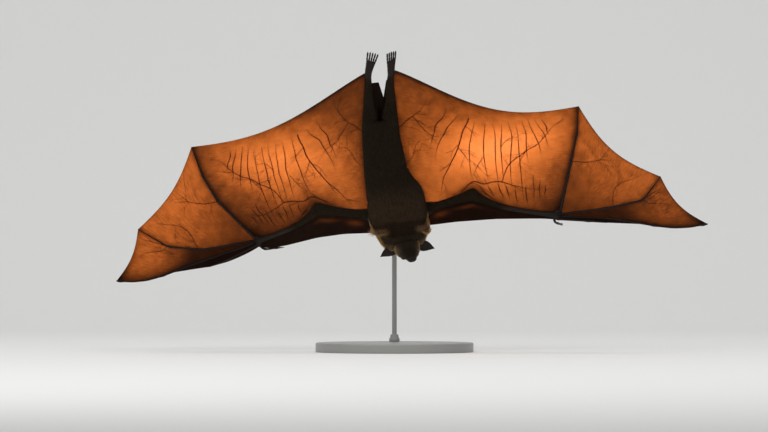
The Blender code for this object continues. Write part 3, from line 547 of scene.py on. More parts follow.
def with_face(points, normals):
    """Presses in the mouth, nostrils and lid openings and raises lips, lids and brows."""
    forward, out, up = to_head(points).T
    moved = points.copy()
    from_mouth = up - mouth_height(forward)
    near_mouth = step(forward, 21, 25)
    lips = 0.45 * np.exp(-((np.abs(from_mouth) - 1.7) / 1.0) ** 2)
    crease = -1.05 * np.exp(-(from_mouth / 0.55) ** 2)
    moved += normals * (near_mouth * (lips + crease))[:, None]
    groove = -0.8 * np.exp(-(out / 0.55) ** 2) * step(forward, 45.5, 47.5)
    groove = groove * step(up, -12.4, -11.4)
    moved += normals * groove[:, None]
    from_nostril = np.hypot((np.abs(out) - 4.2) / 1.25, up + 6.0)
    nostril = -2.2 * np.exp(-from_nostril ** 4) * step(forward, 46.6, 48.2)
    moved += nostril[:, None] * unit(0.75 * MUZZLE + 0.6 * np.sign(out)[:, None] * HEAD_RIGHT)
    bridge = 0.5 * np.exp(-(out / 4.0) ** 2) * step(forward, 20, 28) * step(up, -2, 3)
    moved -= normals * (bridge * 0.6)[:, None]
    for side in SIDES:
        middle, gaze = eye_middle(side), eye_gaze(side)
        level = unit(MUZZLE - gaze * (MUZZLE @ gaze))
        upright = unit(np.cross(gaze, level)) * (1 if np.cross(gaze, level) @ CROWN > 0 else -1)
        away = moved - middle
        reach = np.linalg.norm(away, axis=1)
        along, ahead, above = away @ gaze, away @ level, away @ upright
        tilt = np.arctan2(np.hypot(ahead / 1.14, above / 0.94), along)
        opening = 1 - step(tilt, math.radians(43), math.radians(50))
        lid = np.exp(-((tilt - math.radians(53)) / 0.10) ** 2) * 0.55
        fold = -0.55 * np.exp(-((tilt - math.radians(74)) / 0.08) ** 2)
        fold = fold * (0.6 + 0.4 * np.sign(above))
        near = step(-reach, -9.5, -7.2) * (along > -1)
        radius = reach + near * (lid + fold) - near * opening * (reach - 4.6)
        moved = middle + away * (radius / np.maximum(reach, 1e-6))[:, None]
    return moved


def ear_shell(side):
    """The ear: a pointed leaf curled into a scoop, thin at its rim, with ridges inside.

    half width = W/2 (1-u^2.2)^0.8 (0.82+0.36 sin(pi u^0.8)), turned through an angle that
    lessens towards the tip, and thickened on both sides of that surface.
    """
    out = SIDES[side] * HEAD_RIGHT
    forward, sideways, up = EAR_REACH[side]
    reach = unit(forward * MUZZLE + sideways * out + up * CROWN)
    ahead = MUZZLE + 0.55 * out
    opening = unit(ahead - reach * (ahead @ reach))
    broad = np.cross(opening, reach)
    forward, sideways, up = EAR_SEAT[side]
    root = on_head(forward, SIDES[side] * sideways, up)
    u, v = np.linspace(-0.12, 0.995, 72)[:, None], np.linspace(-1, 1, 41)[None, :]
    grown = np.clip(u, 0, 1)
    half = EAR_WIDTH / 2 * (1 - grown ** 2.2) ** 0.8
    half = half * (0.82 + 0.36 * np.sin(math.pi * grown ** 0.8))
    curl = 1.25 * (1 - 0.55 * grown)
    sideways = half * np.sin(v * curl) / np.sin(curl)
    scoop = half * (1 - np.cos(v * curl)) * 0.9
    rim = 1.1 * np.exp(-((1 - np.abs(v)) / 0.10) ** 2) * (1 - grown)
    ridges = 0.30 * np.sin(grown * 34) * np.exp(-(v / 0.55) ** 2)
    ridges = ridges * step(u, 0.15, 0.4) * step(-u, -0.95, -0.6)
    middle = (root + (EAR_LENGTH * u * (1 - 0.04 * v ** 2))[..., None] * reach
              + sideways[..., None] * broad + (scoop + rim)[..., None] * opening)
    face = unit(np.cross(np.gradient(middle, axis=0), np.gradient(middle, axis=1)))
    face = face * np.sign((face @ opening)[..., None] + 1e-9)
    thick = 0.62 * np.sqrt(np.clip(1 - v ** 8, 0.08, 1)) * (1 - 0.35 * grown)
    inner = middle + (thick + ridges)[..., None] * face
    outer = middle - thick[..., None] * face
    return closed_sheet(inner, outer, SIDES[side] < 0)


def closed_sheet(top, under, turn_over=False):
    """Two grids of points and the rim between them as one closed skin."""
    rows, columns = top.shape[:2]
    index = np.arange(rows * columns).reshape(rows, columns)
    quads = np.stack((index[:-1, :-1], index[1:, :-1], index[1:, 1:], index[:-1, 1:]), axis=-1)
    quads = quads.reshape(-1, 4)
    rim = np.concatenate((index[0, :-1], index[:-1, -1], index[-1, :0:-1], index[:0:-1, 0]))
    after = np.roll(rim, -1)
    wall = np.stack((rim, after, after + index.size, rim + index.size), axis=-1)
    faces = np.concatenate((quads, quads[:, ::-1] + index.size, wall))
    if turn_over:
        faces = faces[:, ::-1]
    points = np.concatenate((top.reshape(-1, 3), under.reshape(-1, 3)))
    return points, faces, np.zeros((0, 3), int)


flesh = [trunk_shell(), neck_shell(), head_shell()]
for side in SIDES:
    flesh += [leg_shell(side), foot_shell(side), arm_shell(side), thumb_shell(side),
              ball(eye_middle(side), *EYELID),
              ball(on_head(47.6, SIDES[side] * 2.9, -6.4), *NOSE_LOBE),
              ball(on_head(4.0, SIDES[side] * 13.5, -6.5), *CHEEK)]
skin_points, *skin_faces = joined(flesh)
skin_points, skin_triangles = evaluated(skin_points, skin_faces, "REMESH", mode="VOXEL",
                                        voxel_size=SKIN_CELL)
on_face = step(to_head(skin_points)[:, 0], -14, -6)
skin_points = relaxed(skin_points, skin_triangles, 0.5 - 0.25 * on_face, 14)


def is_fine(points):
    """Where the skin is seen bare or nearly so: head, wrists and thumbs, feet."""
    fine = to_head(points)[:, 0] > -8
    for side in SIDES:
        fine |= np.linalg.norm(points - arm_corners(side)[2], axis=1) < 34
    return fine | (points[:, 1] < -250)


skin_points, skin_triangles = evaluated(
    skin_points, [skin_triangles], "DECIMATE", ratio=SKIN_KEPT, free=~is_fine(skin_points))
forward = to_head(skin_points)[:, 0]
throat = step(forward, -42, -30) * step(-forward, 2, 10) * (np.abs(skin_points[:, 0]) < 60)
skin_points = relaxed(skin_points, skin_triangles, 0.5 * throat, 22)
shoulders = step(skin_points[:, 1], 10, 24) * step(-skin_points[:, 1], -58, -44)
shoulders = shoulders * step(-np.abs(skin_points[:, 0] - 1), -62, -54)
skin_points = relaxed(skin_points, skin_triangles, 0.5 * shoulders, 18)
skin_points, skin_triangles = refined(
    skin_points, skin_triangles, to_head(skin_points)[:, 0] > 9)
skin_points = relaxed(skin_points, skin_triangles, 0.35 * (to_head(skin_points)[:, 0] > 5), 3)
skin_points = with_face(skin_points, normals_of(skin_points, skin_triangles))
skin_points = relaxed(skin_points, skin_triangles, 0.18 * (to_head(skin_points)[:, 0] > 8), 2)


def toe_lines(side):
    """The five toes' middle lines, side by side and fanned, bent down at each joint."""
    ankle, toes = np.array(ANKLE[side]), np.array(TOE_LINE[side])
    along = unit(toes - ankle)
    across = unit(ACROSS - along * along[0])
    slanted = unit(across + along * TOE_SLANT[side])
    lines = []
    for number in range(-2, 3):
        root = toes + slanted * number * TOE_SPACING[side] + along * 0.5
        heading = unit(along + across * number * TOE_FAN[side])
        knuckle = root + heading * (8.2 - 0.5 * abs(number)) + BACKWARD * 1.6
        pad = knuckle + heading * 6.2 - BACKWARD * 4.0
        hook = pad + heading * 1.8 - BACKWARD * 6.2
        point = hook - BACKWARD * 3 - heading * 2
        inside = toes + across * number * 0.5 * TOE_SPACING[side] - along * 8
        lines.append(rounded_line([inside, root, knuckle, pad, hook, point], 4, 60))
    return lines


TOE_FLESH = 0.70                    # how far along its line a toe's flesh reaches


def toe_shell(path):
    """A toe: tapering, swollen at its joints and at the pad under the claw's root."""
    share = distances(path)
    swell = sum(high * np.exp(-((share - at) / 0.05) ** 2)
                for at, high in ((0.34, 0.10), (0.54, 0.16), (0.67, 0.20)))
    radius = 1.72 * (1 - 0.28 * share + swell)
    keep = share < TOE_FLESH
    return tube(path[keep], radius[keep], radius[keep] * 1.05, BACKWARD + HEADWARD * 0.3, 14)


flesh_points, flesh_triangles = skin_points, skin_triangles
flesh_normals = normals_of(flesh_points, flesh_triangles)
skin_shells = [(skin_points, np.zeros((0, 4), int), skin_triangles)]
for side in SIDES:
    skin_shells += [ear_shell(side)] + [toe_shell(path) for path in toe_lines(side)]
skin_points, *skin_faces = joined(skin_shells)
skin = build("skin", in_room(skin_points), *skin_faces)


def tint(mesh, name, colour):
    """Stores one colour for each point of a mesh."""
    layer = mesh.color_attributes.new(name, "FLOAT_COLOR", "POINT")
    layer.data.foreach_set("color", np.concatenate(
        (colour, np.ones((len(colour), 1))), axis=1).astype(np.float32).ravel())


def mixed(first, second, share):
    """One colour turned into another, each by its share."""
    return first * (1 - share[:, None]) + second * share[:, None]


DARK_COAT, CHEST_COAT = np.array((0.021, 0.0088, 0.0045)), np.array((0.048, 0.018, 0.0075))
MANTLE_COAT, CREAM_COAT = np.array((0.42, 0.215, 0.082)), np.array((0.72, 0.50, 0.28))
HEAD_COAT, FACE_COAT = np.array((0.090, 0.046, 0.023)), np.array((0.030, 0.017, 0.011))
BARE_SKIN = np.array((0.018, 0.012, 0.010))


def markings(points):
    """The coat's colours by place, for the skin and for the fur that grows from it.

    Dark brown all over, chestnut on the chest, a pale gold mantle from the back of the
    head over the nape, the sides of the neck and the shoulders, pale temples by the ears,
    and a dark brown face that turns black at the muzzle.
    """
    x, y, z = points.T
    forward, out, up = to_head(points).T
    colour = mixed(DARK_COAT, CHEST_COAT, step(-z, 5, 25) * step(y, -60, 5))
    sideways = np.abs(x - np.interp(y, (0, 60), (-2, 6)))
    front = step(-z, 0, 16)
    start = 6 + 22 * front
    mantle = step(y, start, start + 14) * (1 - front * (1 - step(sideways, 19, 31)))
    mantle = mantle * (1 - 0.9 * step(np.abs(x), 60, 80))
    colour = mixed(colour, MANTLE_COAT, mantle)
    head = step(forward, -20, -8) * step(up, -34, -24)
    crown = 0.45 * step(up, -4, 12) + 0.5 * np.exp(-((forward - 6) / 8) ** 2) * step(
        np.abs(out), 14, 18) * step(up, -14, -4)
    on_head_colour = mixed(HEAD_COAT, MANTLE_COAT, np.clip(crown, 0, 1))
    on_head_colour = mixed(on_head_colour, FACE_COAT, step(forward, 16, 30))
    on_head_colour = mixed(on_head_colour, DARK_COAT, step(-up, 8, 15) * 0.8)
    return mixed(colour, on_head_colour, head)


def bareness(points):
    """1 where the skin shows: nose, lids and lips, wrists, thumbs, feet and the ears."""
    forward, _, up = to_head(points).T
    bare = step(forward, 45.5, 47.5)
    bare = np.maximum(bare, step(forward, 24, 27) * np.exp(
        -((up - mouth_height(forward)) / 1.1) ** 2))
    for side, sign in SIDES.items():
        from_eye = np.linalg.norm(points - eye_middle(side), axis=1)
        bare = np.maximum(bare, step(-from_eye, -7.8, -6.9))
        elbow, wrist = arm_corners(side)[1:]
        along = (points - elbow) @ unit(wrist - elbow)
        bare = np.maximum(bare, step(along, 55, 95) * (sign * points[:, 0] > 100))
    return np.maximum(bare, step(-points[:, 1], 248, 262))


skin_colour = mixed(markings(skin_points) * 0.7, BARE_SKIN, bareness(skin_points))
skin_colour[len(flesh_points):] = BARE_SKIN      # the ears and toes
tint(skin.data, "Tint", skin_colour)


def show_tint(nodes, links, *sockets):
    """Feeds the colour stored on the mesh to each socket."""
    painted = add_node(nodes, "VertexColor", layer_name="Tint")
    for socket in sockets:
        links.new(painted.outputs["Color"], socket)


skin_look, nodes, links, shader = new_material("dark_skin", (0.045, 0.030, 0.025), 0.6, 0.22)
show_tint(nodes, links, shader.inputs["Base Color"])
place = add_node(nodes, "TexCoord")
creases = add_node(nodes, "TexVoronoi", feature="DISTANCE_TO_EDGE", Scale=1100.0)
pores = add_node(nodes, "TexNoise", Scale=1500.0, Detail=3.0)
relief = add_node(nodes, "Math", operation="ADD")
leathery = add_node(nodes, "Bump", Strength=0.8, Distance=0.0005)
for texture, number in ((creases, 0), (pores, 1)):
    links.new(place.outputs["Object"], texture.inputs["Vector"])
    links.new(texture.outputs[0], relief.inputs[number])
links.new(relief.outputs["Value"], leathery.inputs["Height"])
links.new(leathery.outputs["Normal"], shader.inputs["Normal"])
skin.data.materials.append(skin_look)
flesh_nodes = ["head", "neck", "trunk"]
for side in SIDES:
    flesh_nodes += [f"{part}_{side}" for part in
                    ("ear", "thigh", "shank", "foot", "upper_arm", "forearm", "thumb")]
show(skin, "bare_skin", *flesh_nodes)

# ---- Eyes ----------------------------------------------------------------------------
# A glass eye in each socket: a dark ball with a wide brown iris, a round pupil and a
# clear bulging front, blown and painted from behind, held by the lids.
def eye(side):
    """A ball of rings round its gaze, bulging in front; its colour follows the angle."""
    middle, gaze = eye_middle(side), eye_gaze(side)
    angle = np.linspace(0.01, math.pi - 0.01, 72)
    radius = EYE_RADIUS + 0.35 * (1 - step(angle, 0.45, 0.95))
    path = middle + (radius * np.cos(angle))[:, None] * gaze
    points, walls, ends = tube(path, radius * np.sin(angle), radius * np.sin(angle), CROWN, 72)
    piece = build("glass_eye_" + side, in_room(points), walls[:, ::-1], ends[:, ::-1])
    away = unit(points - middle)
    tilt = np.arccos(np.clip(away @ gaze, -1, 1))
    spin = np.arctan2(away @ unit(np.cross(gaze, CROWN)), away @ CROWN)
    streaks = 0.75 + 0.25 * np.sin(spin * 37 + 2 * np.sin(spin * 11)) * np.sin(tilt * 25)
    pupil, iris = 1 - step(tilt, 0.30, 0.34), 1 - step(tilt, 0.78, 0.86)
    streaks = streaks * (1.25 - 0.9 * (tilt / 0.8) ** 3)
    brown = np.array((0.120, 0.040, 0.012)) * streaks[:, None]
    white = np.array((0.035, 0.018, 0.012))
    colour = white * (1 - iris[:, None]) + np.clip(brown, 0.004, 1) * iris[:, None]
    colour = colour * (1 - pupil[:, None]) + 0.001 * pupil[:, None]
    tint(piece.data, "Tint", colour)
    return piece


eye_glass, nodes, links, shader = new_material("glass_eye", (0.05, 0.02, 0.01), 0.2, 0.05)
shader.inputs["Coat Weight"].default_value = 0.6
shader.inputs["Coat Roughness"].default_value = 0.03
show_tint(nodes, links, shader.inputs["Base Color"])
for side in SIDES:
    glass = eye(side)
    glass.data.materials.append(eye_glass)
    show(glass, "eye_gloss", "eye_" + side)

# ---- Claws ---------------------------------------------------------------------------
# Hooked claws on the toes and thumbs: polished dark horn, narrower than deep, paler and
# clearer towards the sharp point, each grown out of the last pad.
def claw(path, root_radius):
    """A tube narrowed to a point: radius = root (1 - t^1.6), deeper than wide by a third."""
    share = distances(path)
    radius = root_radius * np.maximum(1 - share ** 1.6, 0.03) * (1 + 0.12 * np.exp(-share * 14))
    return tube(path, radius * 0.74, radius * 1.12, HEADWARD * 0.3 + BACKWARD, 16), share


def hooked(path, start, drop):
    """The end of a line from start, bent down by drop times the square of the share."""
    share = np.linspace(0, 1, 24)
    line = spline(path[distances(path) >= start], share)
    return line - (drop * share ** 2)[:, None] * BACKWARD


horn, nodes, links, shader = new_material("claw_horn", (0.03, 0.02, 0.015), 0.38)
shader.inputs["Coat Weight"].default_value = 0.3
shader.inputs["Coat Roughness"].default_value = 0.15
show_tint(nodes, links, shader.inputs["Base Color"])
HORN_DARK, HORN_PALE = np.array((0.014, 0.009, 0.007)), np.array((0.12, 0.080, 0.052))
claw_pieces = []
for side in SIDES:
    claws = [claw(hooked(path, TOE_FLESH - 0.05, 1.5), 1.25) for path in toe_lines(side)]
    claws.append(claw(hooked(thumb_line(side), 0.77, 2.5), 2.0))
    points, *faces = joined([shape for shape, _ in claws])
    piece = build("claws_" + side, in_room(points), *faces)
    pale = np.concatenate([np.concatenate((np.repeat(share, 16), (0, 1)))
                           for _, share in claws])[:, None] ** 2.2
    tint(piece.data, "Tint", HORN_DARK * (1 - pale) + HORN_PALE * pale)
    piece.data.materials.append(horn)
    show(piece, "claw_horn", *[f"toe_{number}_{side}" for number in range(1, 6)])
    claw_pieces.append(piece)

# ---- Finger bones --------------------------------------------------------------------
# The four long fingers of each hand that spread the wing: slender bones under tight dark
# skin, swollen at each joint and ending in a fine gristly tip.
DIGIT_BONES = {2: (66, 37), 3: (106, 87, 101), 4: (101, 71, 66), 5: (108, 57, 59)}
# Each bone's turns in degrees, from the wrist out: towards the head, then the back.
DIGIT_TURNS = {
    "right": {2: ((9.8, -30.0), (10.8, -22.0)),
              3: ((7.8, -26.3), (15.7, -12.9), (3.8, -16.2)),
              4: ((-1.5, -33.4), (-6.5, -9.1), (-48.1, -33.4)),
              5: ((-72.3, -24.8), (-72.3, -9.0), (-82.8, -36.5))},
    "left": {2: ((21.0, -17.5), (14.0, -20.0)),
             3: ((12.8, -15.0), (14.4, -3.0), (-0.2, -33.7)),
             4: ((4.4, -19.5), (-10.6, -6.8), (-36.3, -4.0)),
             5: ((-51.0, -23.0), (-65.0, -13.6), (-75.6, -4.7))}}
# How far each knuckle is past the wrist and ahead of it, and each finger's start ahead.
KNUCKLES = {2: (4.9, 7.2), 3: (8.6, 2.4), 4: (9.5, -2.9), 5: (6.6, -8.1)}
DIGIT_ROOTS = {2: 6.6, 3: 2.2, 4: -2.4, 5: -7.0}
TIP_BOW = 5.0                       # how far the third finger's last bone bows forward


def digit_line(side, number, count=140):
    """From inside the wrist through the knuckle and each joint to the tip, at even steps."""
    wrist = arm_corners(side)[2]
    axis = unit(wrist - arm_line(side, np.ones(1), np.array((0.92,)))[1])
    sideways = unit(HEADWARD - axis * (HEADWARD @ axis))
    out, ahead = KNUCKLES[number]
    corners = [wrist - axis * 4 + sideways * DIGIT_ROOTS[number] * 0.8,
               wrist + axis * out + sideways * ahead]
    for length, turns in zip(DIGIT_BONES[number], DIGIT_TURNS[side][number]):
        corners.append(corners[-1] + bone(side, length, turns))
    if number == 3:
        last = corners[-1] - corners[-2]
        corners[-1:] = [corners[-2] + last * share + TIP_BOW * HEADWARD * (share < 1)
                        for share in (1 / 3, 2 / 3, 1)]
    return rounded_line(corners, 9, count)


def digit_radius(number, path):
    """Thin towards the tip, with a small swelling at each joint."""
    share = distances(path)
    bones = np.array(DIGIT_BONES[number], dtype=float)
    joints = (np.concatenate(((0,), np.cumsum(bones)[:-1])) + 8) / (bones.sum() + 10)
    radius = 1 - 0.40 * share - 0.32 * share ** 6 + 0.45 * (number == 5) * (1 - share) ** 2
    for joint in joints:
        radius = radius + 0.34 * np.exp(-((share - joint) / (5.5 / bones.sum())) ** 2)
    return 2.3 * (radius + 0.75 * (number == 3) * np.exp(-((share - 0.975) / 0.022) ** 2))


DIGITS = {side: {number: digit_line(side, number) for number in DIGIT_BONES} for side in SIDES}
for side in SIDES:
    shapes = []
    for number, path in DIGITS[side].items():
        radius = digit_radius(number, path)
        shapes.append(tube(path, radius, radius * 0.95, HEADWARD + BACKWARD * 0.2, 14))
    points, *faces = joined(shapes)
    piece = build("fingers_" + side, in_room(points), *faces)
    tint(piece.data, "Tint", np.tile(BARE_SKIN, (len(points), 1)))
    piece.data.materials.append(skin_look)
    show(piece, "bare_skin", *[f"digit_{number}_{side}" for number in DIGIT_BONES])

# ---- Wing skins ----------------------------------------------------------------------
# Thin naked skin stretched between body, arm, fingers and leg, brown and see-through like
# oiled parchment against light, darker where it is thick: by the bones and at the hem.
WING_THICKNESS = 0.5
MAP_REACH = 400                     # millimetres of wing to one unit of its map
# Headward place, how far out, height of the line where the wing joins the body and leg.
FLANK = {"right": ((-4, 38, 2), (-25, 41, -1), (-42, 35, -2), (-60, 27, -1), (-76, 21, 0),
                   (-102, 17.5, 1), (-130, 14, 2), (-152, 13, 3), (-168, 13, 4),
                   (-186, 13, 10), (-197, 13.4, 13), (-207, 13.6, 15), (-222, 14, 13),
                   (-240, 14.2, 7), (-258, 16.4, 2), (-270.5, 19.5, -2)),
         "left": ((-4, 42, 2), (-25, 49, -1), (-42, 51, -2), (-60, 53, -1), (-76, 52.5, 0),
                  (-102, 52, 1), (-130, 51, 2), (-152, 50, 3), (-168, 49, 4),
                  (-186, 46.6, 10), (-197, 45.2, 13), (-207, 43.6, 15), (-222, 42, 13),
                  (-240, 39.2, 7), (-258, 37, 2), (-270.5, 36.6, -2))}
# How far the hem is drawn in: in millimetres, and on the hand as a share of the span.
TRAILING_SCALLOP = {"right": 38, "left": 27}
HAND_SCALLOP = {"right": 0.115, "left": 0.08}
# How far ahead the leading edge runs at places out along the arm.
LEADING_EDGE = {"right": ((30, 27), (60, 29), (106, 28), (182, 30.6), (240, 36), (300, 42)),
                "left": ((30, 31), (50, 32.5), (108, 28.6), (160, 30.5), (216, 38.5), (250, 41.5),
                         (278, 42))}
FRINGE = {"right": 1.0, "left": 6.0}   # skin standing ahead of the second finger


def patch(first, last, start, end, billow, rows, columns):
    """A sheet between four edges, each point the sum of the two ruled sheets less the
    bilinear one, blown towards the back by billow sin(pi u) sin(pi v).
    """
    u, v = np.linspace(0, 1, rows), np.linspace(0, 1, columns)
    first, last = spline(first, u)[:, None], spline(last, u)[:, None]
    start, end = spline(start, v)[None], spline(end, v)[None]
    u, v = u[:, None, None], v[None, :, None]
    corners = ((1 - u) * (1 - v) * first[:1] + u * (1 - v) * first[-1:]
               + (1 - u) * v * last[:1] + u * v * last[-1:])
    swell = billow * np.sin(math.pi * u) * np.sin(math.pi * v)
    return ((1 - v) * first + v * last + (1 - u) * start + u * end - corners
            + swell * BACKWARD)


def scalloped(start, end, depth, towards, count, skew=1.0):
    """A free edge: a chord drawn in towards a point by depth times a skewed sine."""
    share = np.linspace(0, 1, count)[:, None]
    pull = towards - (start + end) / 2
    pull = pull - unit(end - start) * (pull @ unit(end - start))
    return start + share * (end - start) + depth * np.sin(math.pi * share ** skew) * unit(pull)


def main_sheet(side):
    """Arm, fifth finger, hem and body: u runs out along the arm, v from the arm to the hem."""
    flank = np.array([(SIDES[side] * out, y, rise) for y, out, rise in FLANK[side]])
    upper, lower = np.linspace(0.0, 1, 8), np.linspace(0, 1, 10)[1:]
    arm = arm_line(side, upper, lower)[:-1]
    half = arm_half_widths(upper, lower)[:-1]
    arm = np.concatenate((arm, arm_corners(side)[2][None]))
    half = np.concatenate((half, (4.0,)))
    along = tangents(arm)
    footward = unit(along * (along @ HEADWARD)[:, None] - HEADWARD)
    arm_edge = np.concatenate((flank[:1], (arm + footward * half[:, None] * 0.6)[1:]))
    fifth = DIGITS[side][5]
    trailing = scalloped(flank[-1], fifth[-1], TRAILING_SCALLOP[side], arm_edge[8], 40, 1.22)
    fifth = np.concatenate((arm_edge[-1:], spline(fifth, np.linspace(0.06, 1, 40))))
    return patch(arm_edge, trailing, flank, fifth, 20, 120, 80)


def hand_sheet(side, near, far, billow):
    """Between two fingers: u runs out along them, v from the rear one to the front one."""
    near, far = (spline(DIGITS[side][number], np.linspace(0.03, 1, 60)) for number in (near, far))
    root = np.linspace(near[0], far[0], 5)
    chord = np.linalg.norm(far[-1] - near[-1])
    free = scalloped(near[-1], far[-1], HAND_SCALLOP[side] * chord, arm_corners(side)[2], 30)
    return patch(near, far, root, free, billow, 86, 42)


def front_strip(side):
    """The narrow dark sheet along the leading edge, between the third and second fingers."""
    third, second = DIGITS[side][3], DIGITS[side][2]
    near = spline(third, np.linspace(0.03, 0.62, 90))
    far = spline(second, np.linspace(0.04, 1.0, 60))
    far = evenly(np.concatenate((far, np.linspace(far[-1], near[-1], 12)[1:])), 90)
    fringe = FRINGE[side] * np.exp(-((np.linspace(0, 1, 90) - 0.15) / 0.32) ** 2)
    return ruled(near, far + fringe[:, None] * HEADWARD, 14)


def ruled(near, far, columns):
    """A sheet of straight lines from each point of one edge to that of the other."""
    v = np.linspace(0, 1, columns)[None, :, None]
    return near[:, None] * (1 - v) + far[:, None] * v


def fore_sheet(side):
    """Ahead of the arm, from the shoulder to the wrist, up to the taut leading edge."""
    upper, lower = np.linspace(-0.05, 1, 28), np.linspace(0, 1, 40)[1:]
    behind = arm_line(side, upper, lower)
    half = arm_half_widths(upper, lower)
    along = tangents(behind)
    ahead = unit(HEADWARD - along * (along @ HEADWARD)[:, None])
    edge = behind + ahead * half[:, None]
    behind = behind + ahead * half[:, None] * 0.3
    out, forward = np.array(LEADING_EDGE[side], dtype=float).T
    front = edge.copy()
    front[:, 1] = np.interp(np.abs(front[:, 0]), out, forward)
    share = distances(edge)
    taut = (1 - share) * edge[0, 2] + share * edge[-1, 2]
    front[:, 2] = 0.6 * taut + 0.4 * edge[:, 2] + 6 * np.sin(math.pi * share)
    front = relaxed_line(front, 3)
    strip = front_strip(side)[0]
    joining = (step(share, 0.86, 1.0) ** 1.5)[:, None]
    front = front + (strip[-1] + HEADWARD - front[-1]) * joining
    behind = behind + (strip[0] - behind[-1]) * joining
    return ruled(*(spline(line, np.linspace(0, 1, 100)) for line in (behind, front)), 20)


def relaxed_line(line, rounds):
    """A line with each inner point moved halfway to the mean of its neighbours."""
    for _ in range(rounds):
        line = np.concatenate((line[:1], line[1:-1] / 2 + (line[:-2] + line[2:]) / 4, line[-1:]))
    return line


def grid_normals(grid):
    """The unit cross product of a grid's two directions at each point."""
    return unit(np.cross(np.gradient(grid, axis=0), np.gradient(grid, axis=1)))


def places_on(grid):
    """How far along its two directions each point of a grid lies, from 0 to 1."""
    return np.meshgrid(*(np.linspace(0, 1, size) for size in grid.shape[:2]), indexing="ij")


def lay_flat(mesh, name, places):
    """Gives a mesh a map: the flat place of each of its points."""
    corner = np.zeros(len(mesh.loops), np.int32)
    mesh.loops.foreach_get("vertex_index", corner)
    layer = mesh.uv_layers.new(name=name)
    layer.data.foreach_set("uv", places[corner].astype(np.float32).ravel())


def wing_sheet(name, grid, light, *nodes_replaced):
    """A sheet with its thickness, its map and the light that each of its two faces lets
    through: the root of what both together do.
    """
    normal = grid_normals(grid) * WING_THICKNESS / 2
    points, *faces = closed_sheet(grid + normal, grid - normal)
    piece = build(name, in_room(points), *faces)
    light = np.sqrt(np.clip(np.concatenate((light.ravel(), light.ravel())), 0, 1))
    tint(piece.data, "Light", np.repeat(light[:, None], 3, axis=1))
    u, v = places_on(grid)
    lengths = [np.linalg.norm(np.diff(grid, axis=axis), axis=-1).sum(axis=axis).mean()
               for axis in (0, 1)]
    flat = np.stack((u * lengths[0], v * lengths[1]), axis=-1).reshape(-1, 2) / MAP_REACH
    lay_flat(piece.data, "Sheet", np.concatenate((flat, flat)))
    piece.data.materials.append(wing_skin)
    show(piece, "wing_skin", *nodes_replaced)


def over(nodes, links, first, second, share):
    """Puts two shaders on the surface, the second by a plain share or by a mask."""
    mix = add_node(nodes, "MixShader")
    if isinstance(share, bpy.types.NodeSocket):
        links.new(share, mix.inputs[0])
    else:
        mix.inputs[0].default_value = share
    links.new(first.outputs["BSDF"], mix.inputs[1])
    links.new(second.outputs["BSDF"], mix.inputs[2])
    links.new(mix.outputs["Shader"], nodes["Material Output"].inputs["Surface"])


wing_skin, nodes, links, shader = new_material("wing_skin", (0.10, 0.04, 0.02), 0.55, 0.22)
light_through = add_node(nodes, "VertexColor", layer_name="Light")
sheet_map = add_node(nodes, "UVMap", uv_map="Sheet")
place = add_node(nodes, "TexCoord")
through = add_node(nodes, "ValToRGB")
THROUGH = ((0.0, (0.010, 0.004, 0.0015)), (0.5, (0.50, 0.238, 0.090)),
           (0.8, (0.80, 0.400, 0.170)), (1.0, (1.0, 0.540, 0.275)))
surface = add_node(nodes, "ValToRGB")
SURFACE = ((0.0, (0.010, 0.006, 0.004)), (0.5, (0.060, 0.026, 0.012)),
           (1.0, (0.140, 0.064, 0.028)))
for ramp, stops in ((through.color_ramp, THROUGH), (surface.color_ramp, SURFACE)):
    for number, (position, colour) in enumerate(stops):
        stop = (ramp.elements[0] if number == 0 else ramp.elements[-1]
                if number == len(stops) - 1 else ramp.elements.new(position))
        stop.position, stop.color = position, (*colour, 1.0)
# A fine net of blood vessels and fibres dims the light, and the fibres raise the surface.
mottle = add_node(nodes, "TexNoise", Scale=55.0, Detail=4.0)
warp = add_node(nodes, "TexNoise", Scale=90.0, Detail=2.0)
spread = add_node(nodes, "VectorMath", operation="SCALE", Scale=0.012)
shift = add_node(nodes, "VectorMath", operation="ADD")
cells = add_node(nodes, "TexVoronoi", feature="DISTANCE_TO_EDGE", Scale=120.0)
vessel = add_node(nodes, "MapRange", From_Min=0.0, From_Max=0.05, To_Min=0.0, To_Max=1.0)
stretch = add_node(nodes, "Mapping", Scale=(26.0, 330.0, 1.0))
fibres = add_node(nodes, "TexNoise", Scale=1.0, Detail=3.0)
links.new(place.outputs["Object"], mottle.inputs["Vector"])
links.new(place.outputs["Object"], warp.inputs["Vector"])
links.new(warp.outputs["Color"], spread.inputs[0])
links.new(place.outputs["Object"], shift.inputs[0])
links.new(spread.outputs["Vector"], shift.inputs[1])
links.new(shift.outputs["Vector"], cells.inputs["Vector"])
links.new(cells.outputs["Distance"], vessel.inputs["Value"])
links.new(sheet_map.outputs["UV"], stretch.inputs["Vector"])
links.new(stretch.outputs["Vector"], fibres.inputs["Vector"])


def blend(first, second, factor, mode="MIX"):
    # A painted pool of light pales the middle of each main sheet, and painted spots pale the
    # sheets ahead of the arms. This shows in the light let through and in the skin's own colour.
    """A colour mix node joined to its inputs; each is a socket or a plain value."""
    mix = add_node(nodes, "Mix", data_type="RGBA", blend_type=mode)
    for socket, value in ((mix.inputs[0], factor), (mix.inputs[6], first),
                          (mix.inputs[7], second)):
        if isinstance(value, bpy.types.NodeSocket):
            links.new(value, socket)
        elif isinstance(value, tuple):
            socket.default_value = (*value, 1.0)
        else:
            socket.default_value = value
    return mix.outputs[2]


